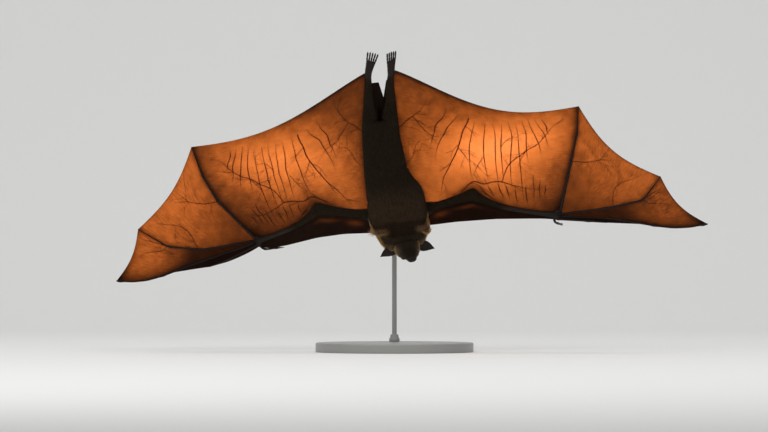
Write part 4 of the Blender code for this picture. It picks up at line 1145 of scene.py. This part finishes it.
dimmed = blend(light_through.outputs["Color"], mottle.outputs["Fac"], 0.36, "OVERLAY")
dimmed = blend(dimmed, fibres.outputs["Fac"], 0.46, "OVERLAY")
faded = add_node(nodes, "MapRange", From_Min=0.45, From_Max=0.65, To_Min=1.0, To_Max=0.84)
links.new(warp.outputs["Fac"], faded.inputs["Value"])
vessel_light = blend(faded.outputs["Result"], (1.0, 1.0, 1.0), vessel.outputs["Result"])
dimmed = blend(dimmed, vessel_light, 1.0, "MULTIPLY")
# This level also sets the skin's own colour, so the painted light on the wing sheets shows in the
# surface colour too.
links.new(dimmed, through.inputs["Fac"])
links.new(dimmed, surface.inputs["Fac"])
links.new(surface.outputs["Color"], shader.inputs["Base Color"])
crinkle = add_node(nodes, "Bump", Strength=0.5, Distance=0.0005)
links.new(fibres.outputs["Fac"], crinkle.inputs["Height"])
links.new(crinkle.outputs["Normal"], shader.inputs["Normal"])
passing = add_node(nodes, "BsdfTranslucent")
links.new(through.outputs["Color"], passing.inputs["Color"])
links.new(crinkle.outputs["Normal"], passing.inputs["Normal"])
over(nodes, links, shader, passing, 0.75)

SHEETS = {}                         # each wing's main and hand sheets, for the veins
# Where the painted pool of light on each main wing sheet lies, out along the arm and across, then
# how much light passes elsewhere and how much more in the pool.
PAINTED_LIGHT_POOL = {"right": (0.62, 0.56, 0.19, 0.74), "left": (0.55, 0.62, 0.11, 0.61)}
# The same at a hand sheet's root, and how much more at its free edge.
HAND_LIGHT = {"5_4_right": (0.08, 0.30), "5_4_left": (0.07, 0.33),
              "4_3_right": (0.02, 0.19), "4_3_left": (0.015, 0.40)}
for side in SIDES:
    grid = main_sheet(side)
    u, v = places_on(grid)
    out, across, least, more = PAINTED_LIGHT_POOL[side]
    along = (u - out) * 0.62 + (v - across) * 0.78
    beside = (u - out) * 0.78 - (v - across) * 0.62
    # A painted pool of light: more light passes here and the skin's own colour is paler here.
    glow = least + more * np.exp(-(beside / 0.25) ** 2 - (along / 0.58) ** 2)
    # Dimmed behind the arm, towards the hem, in the hem, by the body, along the fifth
    # finger, in the corner by the wrist and behind the elbow.
    glow *= 1 - 0.70 * np.exp(-v / 0.09) * step(u, 0.10, 0.45)
    glow *= 1 - 0.40 * np.exp(-(1 - v) / 0.12) - 0.42 * np.exp(
        -(1 - v) / 0.05) * step(-u, -0.60, -0.25)
    glow *= 1 - 0.88 * np.exp(-((1 - v) / 0.026) ** 2) * step(-u, -0.70, -0.25)
    glow *= 1 - 0.35 * np.exp(-u / 0.05)
    glow *= 1 - 0.50 * np.exp(-(1 - u) / 0.15) - 0.46 * np.exp(-((1 - u) / 0.025) ** 2)
    glow *= 1 - 0.93 * np.exp(-((1 - u) / 0.10) ** 2 - (v / 0.20) ** 2)
    glow *= 1 - 0.80 * np.exp(-((u - 0.38) / 0.16) ** 2 - (v / 0.07) ** 2)
    SHEETS["main_" + side] = grid
    wing_sheet("main_wing_" + side, grid, glow, "plagiopatagium_" + side)

    for key, near, far, billow in (("5_4", 5, 4, 9), ("4_3", 4, 3, 6)):
        grid = hand_sheet(side, near, far, billow)
        u, v = places_on(grid)
        least, more = HAND_LIGHT[f"{key}_{side}"]
        glow = least + more * step(u, 0.10, 1.15)
        if key == "4_3":
            glow = (least + more * step(u, 0.50, 1.0)) * (
                1 - 0.85 * np.exp(-((1 - v) / 0.24) ** 2))
            glow *= 1 - 0.95 * np.exp(-((1 - u) / 0.048) ** 2 - ((1 - v) / 0.4) ** 2)
        glow *= 1 - 0.6 * np.exp(-(v / 0.045) ** 2) - 0.6 * np.exp(-((1 - v) / 0.045) ** 2)
        glow *= 1 - 0.5 * np.exp(-(1 - u) / 0.02)
        SHEETS[key + "_" + side] = grid
        wing_sheet(f"hand_wing_{key}_{side}", grid, glow, f"dactylopatagium_{key}_{side}")

    grid = front_strip(side)
    wing_sheet("front_strip_" + side, grid, np.full(grid.shape[:2], 0.004),
               "dactylopatagium_3_2_" + side)

    grid = fore_sheet(side)
    u, v = places_on(grid)
    # Two painted spots of light on the dark sheet ahead of the arm, which is otherwise nearly
    # shut to light.
    glow = 0.003 + 0.045 * (np.exp(-((u - 0.17) / 0.045) ** 2 - ((v - 0.45) / 0.14) ** 2)
                          + 0.8 * np.exp(-((u - 0.36) / 0.08) ** 2 - ((v - 0.36) / 0.07) ** 2))
    wing_sheet("fore_wing_" + side, grid, glow, "propatagium_" + side)

# ---- Tail skin -----------------------------------------------------------------------
# The narrow dark skin between the legs, stiffened at its free edge by a gristle spur from
# each ankle; the two halves meet in a deep notch under the rump.
RUMP_LINE, NOTCH = (-17.6, -150.0), (-6.3, -222.0)
SPUR_TIP = {"right": (2.0, -253.0), "left": (-12.5, -250.5)}


def inner_leg(side, y):
    """Points inside the leg's flesh, a third of its half width in from its middle line."""
    places, outer, half, rise, _ = np.array(LEG[side])[::-1].T
    middle = np.interp(y, places, outer - SIDES[side] * half * 1.35)
    return np.stack((middle, y, np.interp(y, places, rise)), axis=1)


def tail_sheet():
    """The sheet between both legs, the rump and the notched free edge."""
    left, right = (inner_leg(side, np.linspace(RUMP_LINE[1], SPUR_TIP[side][1], 60))
                   for side in ("left", "right"))
    corners = [left[-1], (*SPUR_TIP["left"], left[-1, 2]), (*NOTCH, 12.0),
               (*SPUR_TIP["right"], right[-1, 2]), right[-1]]
    share = np.linspace(0, 4, 121)
    edge = np.stack([np.interp(share, range(5), np.array(corners)[:, axis])
                     for axis in range(3)], axis=1)
    rump = np.linspace(left[0], right[0], 30)
    return patch(left, right, rump, edge, 0.0, 50, 61)


grid = tail_sheet()
wing_sheet("tail_skin", grid, np.full(grid.shape[:2], 0.001),
           "uropatagium_left", "uropatagium_right")

# ---- Veins and muscle strands --------------------------------------------------------
# Fine cords inside the wing skin that show dark against the light: muscle strands that
# run side by side from the arm towards the hem, and branching veins. Each stands a
# little proud of both faces of the skin, and is covered by it.
VEIN_PROUD = 0.02                   # how far a vein's edge stands out of the skin
# Each strand's start near the arm and end near the hem, out along the arm and across.
STRANDS = (((0.20, 0.39), (0.302, 0.83)), ((0.215, 0.33), (0.37, 0.82)),
           ((0.425, 0.11), (0.458, 0.80)), ((0.542, 0.20), (0.515, 0.82)),
           ((0.602, 0.20), (0.556, 0.835)), ((0.632, 0.24), (0.604, 0.85)),
           ((0.682, 0.20), (0.640, 0.87)), ((0.751, 0.09), (0.680, 0.86)),
           ((0.772, 0.45), (0.712, 0.90)), ((0.835, 0.54), (0.742, 0.92)),
           ((0.865, 0.62), (0.777, 0.92)), ((0.856, 0.74), (0.812, 0.915)),
           ((0.575, 0.02), (0.47, 0.06)), ((0.556, 0.045), (0.521, 0.165)),
           ((0.617, 0.06), (0.592, 0.22)), ((0.659, 0.07), (0.638, 0.24)),
           ((0.712, 0.05), (0.700, 0.20)), ((0.780, 0.06), (0.768, 0.26)),
           ((0.817, 0.10), (0.806, 0.36)), ((0.858, 0.13), (0.851, 0.32)),
           ((0.893, 0.15), (0.882, 0.27)))
# Each vein's width and the places that it passes.
VEINS = {
    "main": (
        (1.15, ((0.425, 0.80), (0.40, 0.58), (0.376, 0.42), (0.312, 0.30), (0.235, 0.17),
                (0.16, 0.03))),
        (0.95, ((0.34, 0.04), (0.40, 0.085), (0.47, 0.115), (0.60, 0.24), (0.70, 0.235),
                (0.79, 0.222), (0.92, 0.24))),
        (0.85, ((0.62, 0.25), (0.657, 0.376), (0.704, 0.486), (0.752, 0.587), (0.80, 0.65),
                (0.836, 0.735), (0.878, 0.835), (0.93, 0.875))),
        (0.80, ((0.0, 0.49), (0.055, 0.56), (0.105, 0.625), (0.150, 0.76), (0.205, 0.90))),
        (0.60, ((0.105, 0.625), (0.155, 0.56), (0.21, 0.50), (0.26, 0.50))),
        (0.60, ((0.378, 0.43), (0.41, 0.37), (0.432, 0.32))),
        (0.60, ((0.518, 0.41), (0.48, 0.30), (0.438, 0.17))),
        (0.55, ((0.607, 0.57), (0.645, 0.68), (0.70, 0.72))),
        (0.55, ((0.752, 0.587), (0.73, 0.50), (0.715, 0.40))),
        (0.50, ((0.0, 0.30), (0.07, 0.34), (0.13, 0.43), (0.20, 0.45))),
    ),
    "5_4": (
        (0.65, ((0.50, 0.0), (0.64, 0.24), (0.81, 0.41), (0.92, 0.55))),
        (0.45, ((0.81, 0.41), (0.89, 0.43), (0.97, 0.46))),
        (0.60, ((0.52, 0.96), (0.635, 0.76), (0.75, 0.70), (0.87, 0.79), (0.94, 0.85))),
    ),
    "4_3": (
        (0.55, ((0.74, 0.0), (0.79, 0.19), (0.89, 0.33), (0.96, 0.47))),
        (0.45, ((0.74, 0.0), (0.90, 0.10), (0.985, 0.14))),
    ),
}


def on_sheet(grid, places):
    """Points of a sheet at (u, v) places, by the weighted mean of the four nearest."""
    u, v = (np.clip(places[:, axis], 0, 1) * (grid.shape[axis] - 1) for axis in (0, 1))
    i, j = (np.minimum(value.astype(int), size - 2) for value, size in zip((u, v), grid.shape))
    s, t = (u - i)[:, None], (v - j)[:, None]
    return ((1 - s) * (1 - t) * grid[i, j] + s * (1 - t) * grid[i + 1, j]
            + (1 - s) * t * grid[i, j + 1] + s * t * grid[i + 1, j + 1])


def cord(grid, places, width, count, blunt=0.0):
    """A flat tube in the sheet, thin at its ends: width sin(pi (b + (0.97 - b) s))^0.8."""
    share = np.linspace(0, 1, count)
    path = on_sheet(grid, spline(places, share))
    wide = 1.2 * width * np.sin(math.pi * (blunt + (0.97 - blunt) * share)) ** 0.8
    return tube(path, wide, wide * 0.12 + (WING_THICKNESS / 2 + VEIN_PROUD), BACKWARD, 6)


def wandering(start, headings, pace):
    """A line from start that takes one pace along each heading."""
    moves = pace * np.stack((np.cos(headings), np.sin(headings)), axis=1)
    return start + np.concatenate((np.zeros((1, 2)), np.cumsum(moves, axis=0)))


def branches(vein, width, random, spread):
    """Side twigs of a vein: each starts on it and wanders off to one side, with a fork."""
    found = []
    for start in np.arange(0.15, 0.95, 0.24) + random.uniform(-0.05, 0.05):
        here, ahead = spline(vein, np.clip((start, start + 0.04), 0, 1))
        off = random.choice((-1, 1)) * random.uniform(0.5, 0.9)
        heading = math.atan2(*(ahead - here)[::-1]) + off
        headings = heading + np.cumsum(random.normal(0, 0.15, 6))
        pace = spread * random.uniform(0.6, 1.3) / 6
        twig = wandering(here, headings, pace)
        fork = headings[3:] + random.choice((-1, 1)) * 0.8
        found += [(width * 0.42, twig), (width * 0.30, wandering(twig[3], fork, pace * 0.9))]
    return found


vein_look, nodes, links, shader = new_material("vein_skin", (0.050, 0.020, 0.010), 0.45, 0.3)
passing = add_node(nodes, "BsdfTranslucent", Color=(0.46, 0.18, 0.060, 1.0))
over(nodes, links, shader, passing, 0.7)
for side in SIDES:
    random = np.random.default_rng(31 + SIDES[side])
    cords = []
    for start, end in STRANDS:
        middle = (np.array(start) + end) / 2 + (0.010 * random.uniform(-1, 1), 0.0)
        wander = random.normal(0, 0.0035, (2, 2))
        places = np.array((start, (start + middle) / 2 + wander[0], middle,
                           (end + middle) / 2 + wander[1], end))
        cords.append(cord(SHEETS["main_" + side], places, random.uniform(0.75, 1.0), 40))
    for key, veins in VEINS.items():
        grid = SHEETS[f"{key}_{side}"]
        for width, places in veins:
            places = np.array(places) + random.normal(0, 0.003, (len(places), 2))
            cords.append(cord(grid, places, width, 60, 0.35))
            twigs = branches(places, width, random, 0.11 if key == "main" else 0.20)
            cords += [cord(grid, twig, thin, 18, 0.35) for thin, twig in twigs
                      if ((twig > 0.01) & (twig < 0.985)).all()]
    points, *faces = joined(cords)
    piece = build("veins_" + side, in_room(points), *faces)
    piece.data.materials.append(vein_look)
    show(piece, "wing_skin")

# ---- Coat ----------------------------------------------------------------------------
# Fur laid over the skin in fine pointed locks that overlap from the nose to the feet:
# velvet-short on the face, sleek on the back and belly, long and loose round the neck.
TRIANGLES_IN_PIECE = 158000
LOCK_PATCH = 0.003                  # how much of the bake map one lock takes
ROOTS_TRIED = 3.0                   # roots thrown for each that the spacing asks for


def flow(points):
    """Which way the fur lies: back over the head, down the trunk and out along each arm."""
    x, y, _ = points.T
    forward, out, up = to_head(points).T
    along_head = step(forward, -24, -8) * step(up, -36, -26)
    lie = np.tile(-HEADWARD, (len(points), 1))
    lie = lie + (0.30 * np.tanh((x + 2) / 30) * step(y, -160, -60))[:, None] * ACROSS
    for side, sign in SIDES.items():
        shoulder, elbow, wrist = arm_corners(side)
        on_arm = step(sign * x, 50, 72) * step(y, -60, -40)
        on_forearm = step((points - elbow) @ unit(wrist - elbow), -12, 12) * (sign * x > 100)
        out_along = mixed(unit(elbow - shoulder), unit(wrist - elbow), on_forearm)
        lie = mixed(lie, out_along - 0.35 * HEADWARD, on_arm)
    back_over = -MUZZLE + (0.18 * np.tanh(out / 8))[:, None] * HEAD_RIGHT + (
        0.15 * step(up, 0, 10))[:, None] * CROWN
    return mixed(lie, back_over, along_head)


def coat_length(points):
    """The fur's length by place, in millimetres, and how far it stands from the skin."""
    x, y, z = points.T
    forward, _, up = to_head(points).T
    length = np.interp(y, (-262, -240, -215, -180, -120, -40, 10, 34, 60),
                       (1.6, 2.6, 4.5, 7.5, 9.0, 10.5, 12.5, 16, 17))
    lift = np.interp(y, (-200, -60, 0, 34, 60), (13, 17, 22, 34, 40)) - 5 * step(z, 0, 20)
    throat = step(-z, -2, 14) * step(y, 4, 34)
    length, lift = length * (1 - 0.52 * throat), lift * (1 - 0.45 * throat)
    for sign in SIDES.values():
        reach = sign * x - 50
        on_arm = (reach > 0) & (y > -60)
        length = np.where(on_arm, np.interp(reach, (0, 20, 70, 100, 150),
                                            (10, 6.5, 4.5, 3.0, 1.8)), length)
        lift = np.where(on_arm, np.interp(reach, (0, 30), (22, 15)), lift)
    head = step(forward, -22, -6) * step(up, -34, -24)
    head_length = np.interp(forward, (-12, 0, 10, 18, 26, 34, 44),
                            (12, 7.5, 5.5, 3.4, 2.2, 1.6, 1.1))
    head_lift = np.interp(forward, (-12, 0, 14, 30), (34, 26, 20, 14))
    return length * (1 - head) + head_length * head, lift * (1 - head) + head_lift * head


def scattered(chosen, spacing, random):
    """Roots on the chosen triangles: random places by area, one to a cube of the spacing.

    Returns each root's place, the skin's normal there and the spacing that it was given.
    """
    triangles = flesh_triangles[chosen]
    a, b, c = flesh_points[triangles].transpose(1, 0, 2)
    area = np.linalg.norm(np.cross(b - a, c - a), axis=1) / 2
    local = spacing[triangles].mean(axis=1)
    wanted = np.cumsum(area / local ** 2)
    count = int(wanted[-1] * ROOTS_TRIED)
    picked = np.searchsorted(wanted, random.random(count) * wanted[-1])
    s, t = random.random((2, count))
    s, t = np.where(s + t > 1, 1 - s, s), np.where(s + t > 1, 1 - t, t)
    weights = np.stack((1 - s - t, s, t), axis=1)[..., None]
    places = (flesh_points[triangles[picked]] * weights).sum(axis=1)
    normals = unit((flesh_normals[triangles[picked]] * weights).sum(axis=1))
    cells = np.floor(places / local[picked][:, None]).astype(np.int64)
    first = np.sort(np.unique(cells @ np.array((1, 100003, 10007 * 100003)),
                              return_index=True)[1])
    return places[first], normals[first], local[picked][first]


def locks(roots, normals, widths, random, rings, ruffled):
    """Curved pointed prisms: each bends back to the skin, with a bow to one side.

    height = L sin(lift) (s - 0.5 s^2), rooted in the skin; width = w sin(pi (0.25 + 0.65 s)).
    """
    count = len(roots)
    length, lift = coat_length(roots)
    length = length * ruffled[0] * random.uniform(0.72, 1.2, count)
    lift = np.radians(lift * random.uniform(0.5, 1.45, count) + ruffled[1])
    lie = flow(roots)
    lie = unit(lie - normals * (lie * normals).sum(axis=1)[:, None])
    lie = unit(lie + np.cross(normals, lie) * random.normal(0, 0.17, count)[:, None])
    across = np.cross(normals, lie)
    bow = random.normal(0, 0.12, count)
    s = np.append(np.linspace(0, 0.72, rings), 1.0)
    rooted = np.minimum(0.25, 0.05 * length)[:, None] * (1 - s) ** 2
    height = (length * np.sin(lift))[:, None] * (s - 0.5 * s ** 2) - rooted
    reach = (length * np.cos(lift * 0.8))[:, None] * s
    middle = (roots[:, None] + reach[..., None] * lie[:, None]
              + height[..., None] * normals[:, None]
              + ((length * bow)[:, None] * s ** 2)[..., None] * across[:, None])
    wide = (widths[:, None] * np.sin(math.pi * (0.25 + 0.65 * s[:-1])))[..., None]
    ring = middle[:, :-1]
    corners = np.stack((ring - across[:, None] * wide / 2,
                        ring + normals[:, None] * wide * 0.42,
                        ring + across[:, None] * wide / 2), axis=2)
    points = np.concatenate((corners.reshape(count, rings * 3, 3), middle[:, -1:]), axis=1)
    wall = [(a + 3 * row, b + 3 * row, b + 3 * row + 3, a + 3 * row + 3)
            for row in range(rings - 1) for a, b in ((0, 1), (1, 2), (2, 0))]
    last = 3 * rings - 3
    corner = [(a, b, c) for a, b, c, _ in wall] + [(a, c, d) for a, _, c, d in wall]
    corner += [(last, last + 1, last + 3), (last + 1, last + 2, last + 3),
               (last + 2, last, last + 3), (0, 2, 1)]
    faces = np.arange(count)[:, None, None] * (last + 4) + np.array(corner)
    return points.reshape(-1, 3), faces.reshape(-1, 3)[:, ::-1], s


def unwrapped(points):
    """Each root on the skin laid flat: its turn round the body and its way along it.

    The trunk and head share one strip; each arm and leg has a strip of its own.
    """
    x, y, z = points.T
    forward, out, up = to_head(points).T
    head = step(forward, -16, -6)
    turn = np.arctan2(x - np.interp(y, (-168, 0, 60), (-18, -2, 6)), -z) / (2 * math.pi) + 0.5
    head_turn = np.arctan2(out, -up - 4) / (2 * math.pi) + 0.5
    turn = turn * (1 - head) + head_turn * head
    along = (y + 168) / 320 * (1 - head) + (0.76 + (forward + 10) / 280) * head
    u, v = 0.02 + 0.46 * turn, 0.01 + 0.97 * np.clip(along, 0, 1)
    for number, (side, sign) in enumerate(SIDES.items()):
        on_arm = (sign * x > 56) & (y > -60)
        centre = arm_line(side, np.linspace(0, 1, 12), np.linspace(0, 1, 20)[1:])
        order = np.argsort(centre[:, 0])
        line_y, line_z = (np.interp(x, centre[order, 0], centre[order, axis]) for axis in (1, 2))
        arm_turn = np.arctan2(y - line_y, z - line_z) / (2 * math.pi) + 0.5
        u = np.where(on_arm, 0.52 + 0.11 * number + 0.10 * arm_turn, u)
        v = np.where(on_arm, 0.02 + 0.9 * np.clip((sign * x - 56) / 240, 0, 1), v)
        on_leg = (y < -168) & (sign * (x + 17.6) > 0)
        leg_y, outer, half = np.array(LEG[side])[::-1, :3].T
        leg_turn = np.arctan2(x - np.interp(y, leg_y, outer - sign * half), 6 - z)
        leg_turn = leg_turn / (2 * math.pi) + 0.5
        u = np.where(on_leg, 0.75 + 0.12 * number + 0.10 * leg_turn, u)
        v = np.where(on_leg, 0.02 + 0.9 * np.clip((-168 - y) / 100, 0, 1), v)
    return np.stack((u, v), axis=1)


def lock_map(roots, s):
    """Each lock's points on the bake map: a patch of its own, at its root's place."""
    patch_place = np.array([(a, t) for t in s[:-1] for a in (0.0, 0.5, 1.0)]
                           + [(0.5, 1.0)]) * LOCK_PATCH
    return (unwrapped(roots)[:, None] + patch_place).reshape(-1, 2)


def grow(name, slot, material, inside, spacing, width, rings, seed, ruffled=(1, 0), coat=None):
    """One piece of the coat: its locks, their colours from root to tip and their map.

    Ruffled: times the length and plus the lift in degrees. Coat: one colour for them all.
    """
    random = np.random.default_rng(seed)
    chosen = inside[flesh_triangles].any(axis=1)
    roots, normals, local = scattered(chosen, spacing, random)
    keep = random.random(len(roots)) > bareness(roots) * 1.02
    most = TRIANGLES_IN_PIECE // (6 * (rings - 1) + 4)
    keep &= random.random(len(roots)) < most / max(keep.sum(), 1)
    roots, normals, local = roots[keep], normals[keep], local[keep]
    widths = local * width * random.uniform(0.75, 1.25, len(roots))
    points, faces, s = locks(roots, normals, widths, random, rings, ruffled)
    piece = build(name, in_room(points), faces)
    plain = markings(roots) if coat is None else np.tile(coat, (len(roots), 1))
    colour = plain * random.uniform(0.70, 1.3, len(roots))[:, None]
    pale = np.clip(plain[:, 0] / MANTLE_COAT[0], 0, 1)[:, None] ** 0.7 * (coat is None)
    tip = colour * 1.2 + pale * (CREAM_COAT - MANTLE_COAT) * random.uniform(
        0.4, 1.4, len(roots))[:, None]
    level = np.append(np.repeat(s[:-1], 3), 1.0)[None, :, None]
    shade = colour[:, None] * (0.45 + 0.55 * level) * (1 - level) + tip[:, None] * level
    tint(piece.data, "Tint", np.minimum(shade, 0.98).reshape(-1, 3))
    lay_flat(piece.data, "OFBake", lock_map(roots, s))
    piece.data.materials.append(material)
    show(piece, slot)


def fur_material(name, roughness, sheer_share):
    """Soft fibre: the lock's own colour, matt, letting a share of the light through."""
    material, nodes, links, shader = new_material(name, (0.05, 0.03, 0.02), roughness, 0.05)
    passing = add_node(nodes, "BsdfTranslucent")
    show_tint(nodes, links, shader.inputs["Base Color"], passing.inputs["Color"])
    over(nodes, links, shader, passing, sheer_share)
    return material


dark_fur = fur_material("dark_fur", 0.62, 0.12)
pale_fur = fur_material("pale_fur", 0.7, 0.55)
glow_fur = fur_material("glow_fur", 0.7, 0.88)
PAINTED_RIM_LIGHT = np.array((0.96, 0.68, 0.38))     # painted rim light: pale tips as if lit from behind

x, y, z = flesh_points.T
forward, out, up = to_head(flesh_points).T
is_head = (forward > -12) & (up > -27) & (y > 45)
is_arm = (np.abs(x + 2) > 60) & (y > -60)
is_leg = (y < -165) & ~is_arm
is_neck = ~is_head & (y > 22) & ~is_arm
is_trunk = ~is_head & ~is_neck & ~is_arm & ~is_leg
is_front, is_back = is_trunk & (z < 0), is_trunk & (z >= 0)
head_spacing = np.interp(forward, (-12, 5, 20, 34, 46), (0.95, 0.80, 0.60, 0.50, 0.42))
limb_spacing = np.interp(coat_length(flesh_points)[0], (1.5, 4, 8), (0.72, 0.92, 1.2))
same = np.ones(len(flesh_points))
# Where the sides of the neck and the temples turn side-on to the front, the locks carry painted
# rim light: a pale cream colour that stands in for light from behind.
is_neck_rim = is_neck & (np.abs(flesh_normals[:, 2]) < 0.45) & (np.abs(x - 5) > 27) & (y > 30)
is_temple_rim = is_head & (np.abs(flesh_normals[:, 2]) < 0.35) & (np.abs(out) > 11)
SLEEK, MANTLE, RUFF = ("body_fur", dark_fur), ("mantle_fur", pale_fur), ("mantle_fur", glow_fur)
grow("face_fur", *SLEEK, is_head & (forward > 9), head_spacing, 0.60, 2, 11)
grow("crown_fur", *SLEEK, is_head & (forward < 10), head_spacing, 0.60, 2, 12)
grow("nape_fur", *MANTLE, is_neck & (z >= 2), same * 0.82, 0.62, 2, 13)
grow("throat_fur", *MANTLE, is_neck & (z < 4), same * 0.82, 0.62, 2, 14)
grow("rim_lit_ruff_fur", *RUFF, is_neck_rim, same * 0.95, 0.42, 3, 22, (0.9, 30), PAINTED_RIM_LIGHT)
grow("rim_lit_temple_fur", *RUFF, is_temple_rim & (forward < 24), same * 1.1, 0.30, 3, 23, (0.8, 30),
     PAINTED_RIM_LIGHT)
grow("chest_fur", *SLEEK, is_front & (y > -72), same, 0.60, 2, 15)
grow("belly_fur", *SLEEK, is_front & (y <= -70), same * 0.95, 0.60, 2, 16)
grow("back_fur", *SLEEK, is_back & (y > -72), same, 0.60, 2, 17)
grow("rump_fur", *SLEEK, is_back & (y <= -70), same * 0.95, 0.60, 2, 18)
grow("leg_fur", *SLEEK, is_leg, limb_spacing, 0.60, 2, 19)
grow("arm_fur_right", *SLEEK, is_arm & (x > 0), limb_spacing, 0.60, 2, 20)
grow("arm_fur_left", *SLEEK, is_arm & (x < 0), limb_spacing, 0.60, 2, 21)

# ---- Floor and backdrop --------------------------------------------------------------
# A wide pale floor, and a sheet of the same swept up behind the model, matt and seamless.
# The sheet's back lets the eye and the light through, so the model can be seen from there.
FLOOR_REACH, SHEET_REACH = 150.0, 9.0
SWEEP_START, SWEEP_RADIUS = 2.2, 1.6
PALE = (0.80, 0.80, 0.79)
sweep_turn = np.linspace(0, math.pi / 2, 24)
sweep = np.concatenate((
    np.stack((SWEEP_START + SWEEP_RADIUS * np.sin(sweep_turn),
              SWEEP_RADIUS - SWEEP_RADIUS * np.cos(sweep_turn)), axis=1),
    [(SWEEP_START + SWEEP_RADIUS, SHEET_REACH)]))
sheet_points = np.array([[(x, y, z + MM) for x in (-SHEET_REACH, SHEET_REACH)]
                         for y, z in sweep]).reshape(-1, 3)
index = np.arange(len(sweep) * 2).reshape(-1, 2)
backdrop = build("backdrop", sheet_points, np.stack(
    (index[:-1, 0], index[:-1, 1], index[1:, 1], index[1:, 0]), axis=-1))
floor = build("floor", FLOOR_REACH * np.array(((-1, -1, 0), (1, -1, 0), (1, 1, 0), (-1, 1, 0))),
              np.array(((0, 1, 2, 3),)))
for piece in (backdrop, floor):
    bpy.context.scene.collection.objects.link(piece)
floor.data.materials.append(new_material("pale_floor", PALE, 0.9, 0.1)[0])
sheet_front, nodes, links, shader = new_material("pale_sheet", PALE, 0.9, 0.1)
facing = add_node(nodes, "NewGeometry")
over(nodes, links, shader, add_node(nodes, "BsdfTransparent"), facing.outputs["Backfacing"])
backdrop.data.materials.append(sheet_front)


def soft_light(name, place, aim, size, power, colour=(1, 1, 1)):
    """A rectangular lamp at a place, facing aim, not seen itself."""
    lamp = bpy.data.lights.new(name, "AREA")
    lamp.shape = "RECTANGLE"
    lamp.size, lamp.size_y = size
    lamp.energy, lamp.color = power, colour
    holder = bpy.data.objects.new(name, lamp)
    bpy.context.scene.collection.objects.link(holder)
    holder.location = place
    holder.rotation_euler = (Vector(aim) - Vector(place)).to_track_quat("-Z", "Y").to_euler()
    holder.visible_camera = False
    return holder


lights = [
    soft_light("back_light", (0, 1.5, 0.9), (0, 0, 0.26), (2.4, 1.4), 53, (1.0, 0.96, 0.90)),
    soft_light("rim_right", (1.8, 1.3, 1.2), (0, 0, 0.25), (0.8, 1.2), 25),
    soft_light("rim_left", (-1.8, 1.3, 1.2), (0, 0, 0.25), (0.8, 1.2), 25),
    soft_light("front_light", (-1.6, -3.0, 2.2), (0, 0, 0.25), (2.0, 2.0), 24),
    soft_light("sheet_light", (0, -1.0, 4.2), (0, 0.2, 0), (7.0, 7.0), 190),
]
# The lamps behind are flagged off the floor, the stand and the polished claws, and the
# lamp over the floor is flagged off the animal.
setting = (base, rod, collar, backdrop, floor)
animal = [piece for piece in bpy.context.scene.objects
          if piece.type == "MESH" and piece not in (*setting, *claw_pieces)]
for name, pieces, lamps in (("lit_from_behind", animal, lights[:3]),
                            ("lit_from_above", setting, lights[4:])):
    receivers = bpy.data.collections.new(name)
    for piece in pieces:
        receivers.objects.link(piece)
    for lamp in lamps:
        lamp.light_linking.receiver_collection = receivers
air = bpy.data.worlds.new("soft_air")
bpy.context.scene.world = air
air.use_nodes = True
glow_of_air = air.node_tree.nodes["Background"]
glow_of_air.inputs["Color"].default_value = (1.0, 1.0, 1.0, 1.0)
glow_of_air.inputs["Strength"].default_value = 0.30

# ---- Camera --------------------------------------------------------------------------
# A long lens level with the model's middle and square to its front, so far off that
# perspective is slight, and seeing as far as the floor's edge.
SENSOR_WIDTH, FOCAL_LENGTH = 36.0, 296.1
CAMERA_PLACE, FARTHEST_SEEN = (-0.020, -12.0, 0.2584), 400.0
lens = bpy.data.cameras.new("camera")
lens.sensor_width, lens.lens = SENSOR_WIDTH, FOCAL_LENGTH
lens.clip_end = FARTHEST_SEEN
camera = bpy.data.objects.new("camera", lens)
bpy.context.scene.collection.objects.link(camera)
camera.location = CAMERA_PLACE
camera.rotation_euler = (math.pi / 2, 0, 0)
bpy.context.scene.camera = camera
bpy.context.scene.view_settings.view_transform = "Standard"
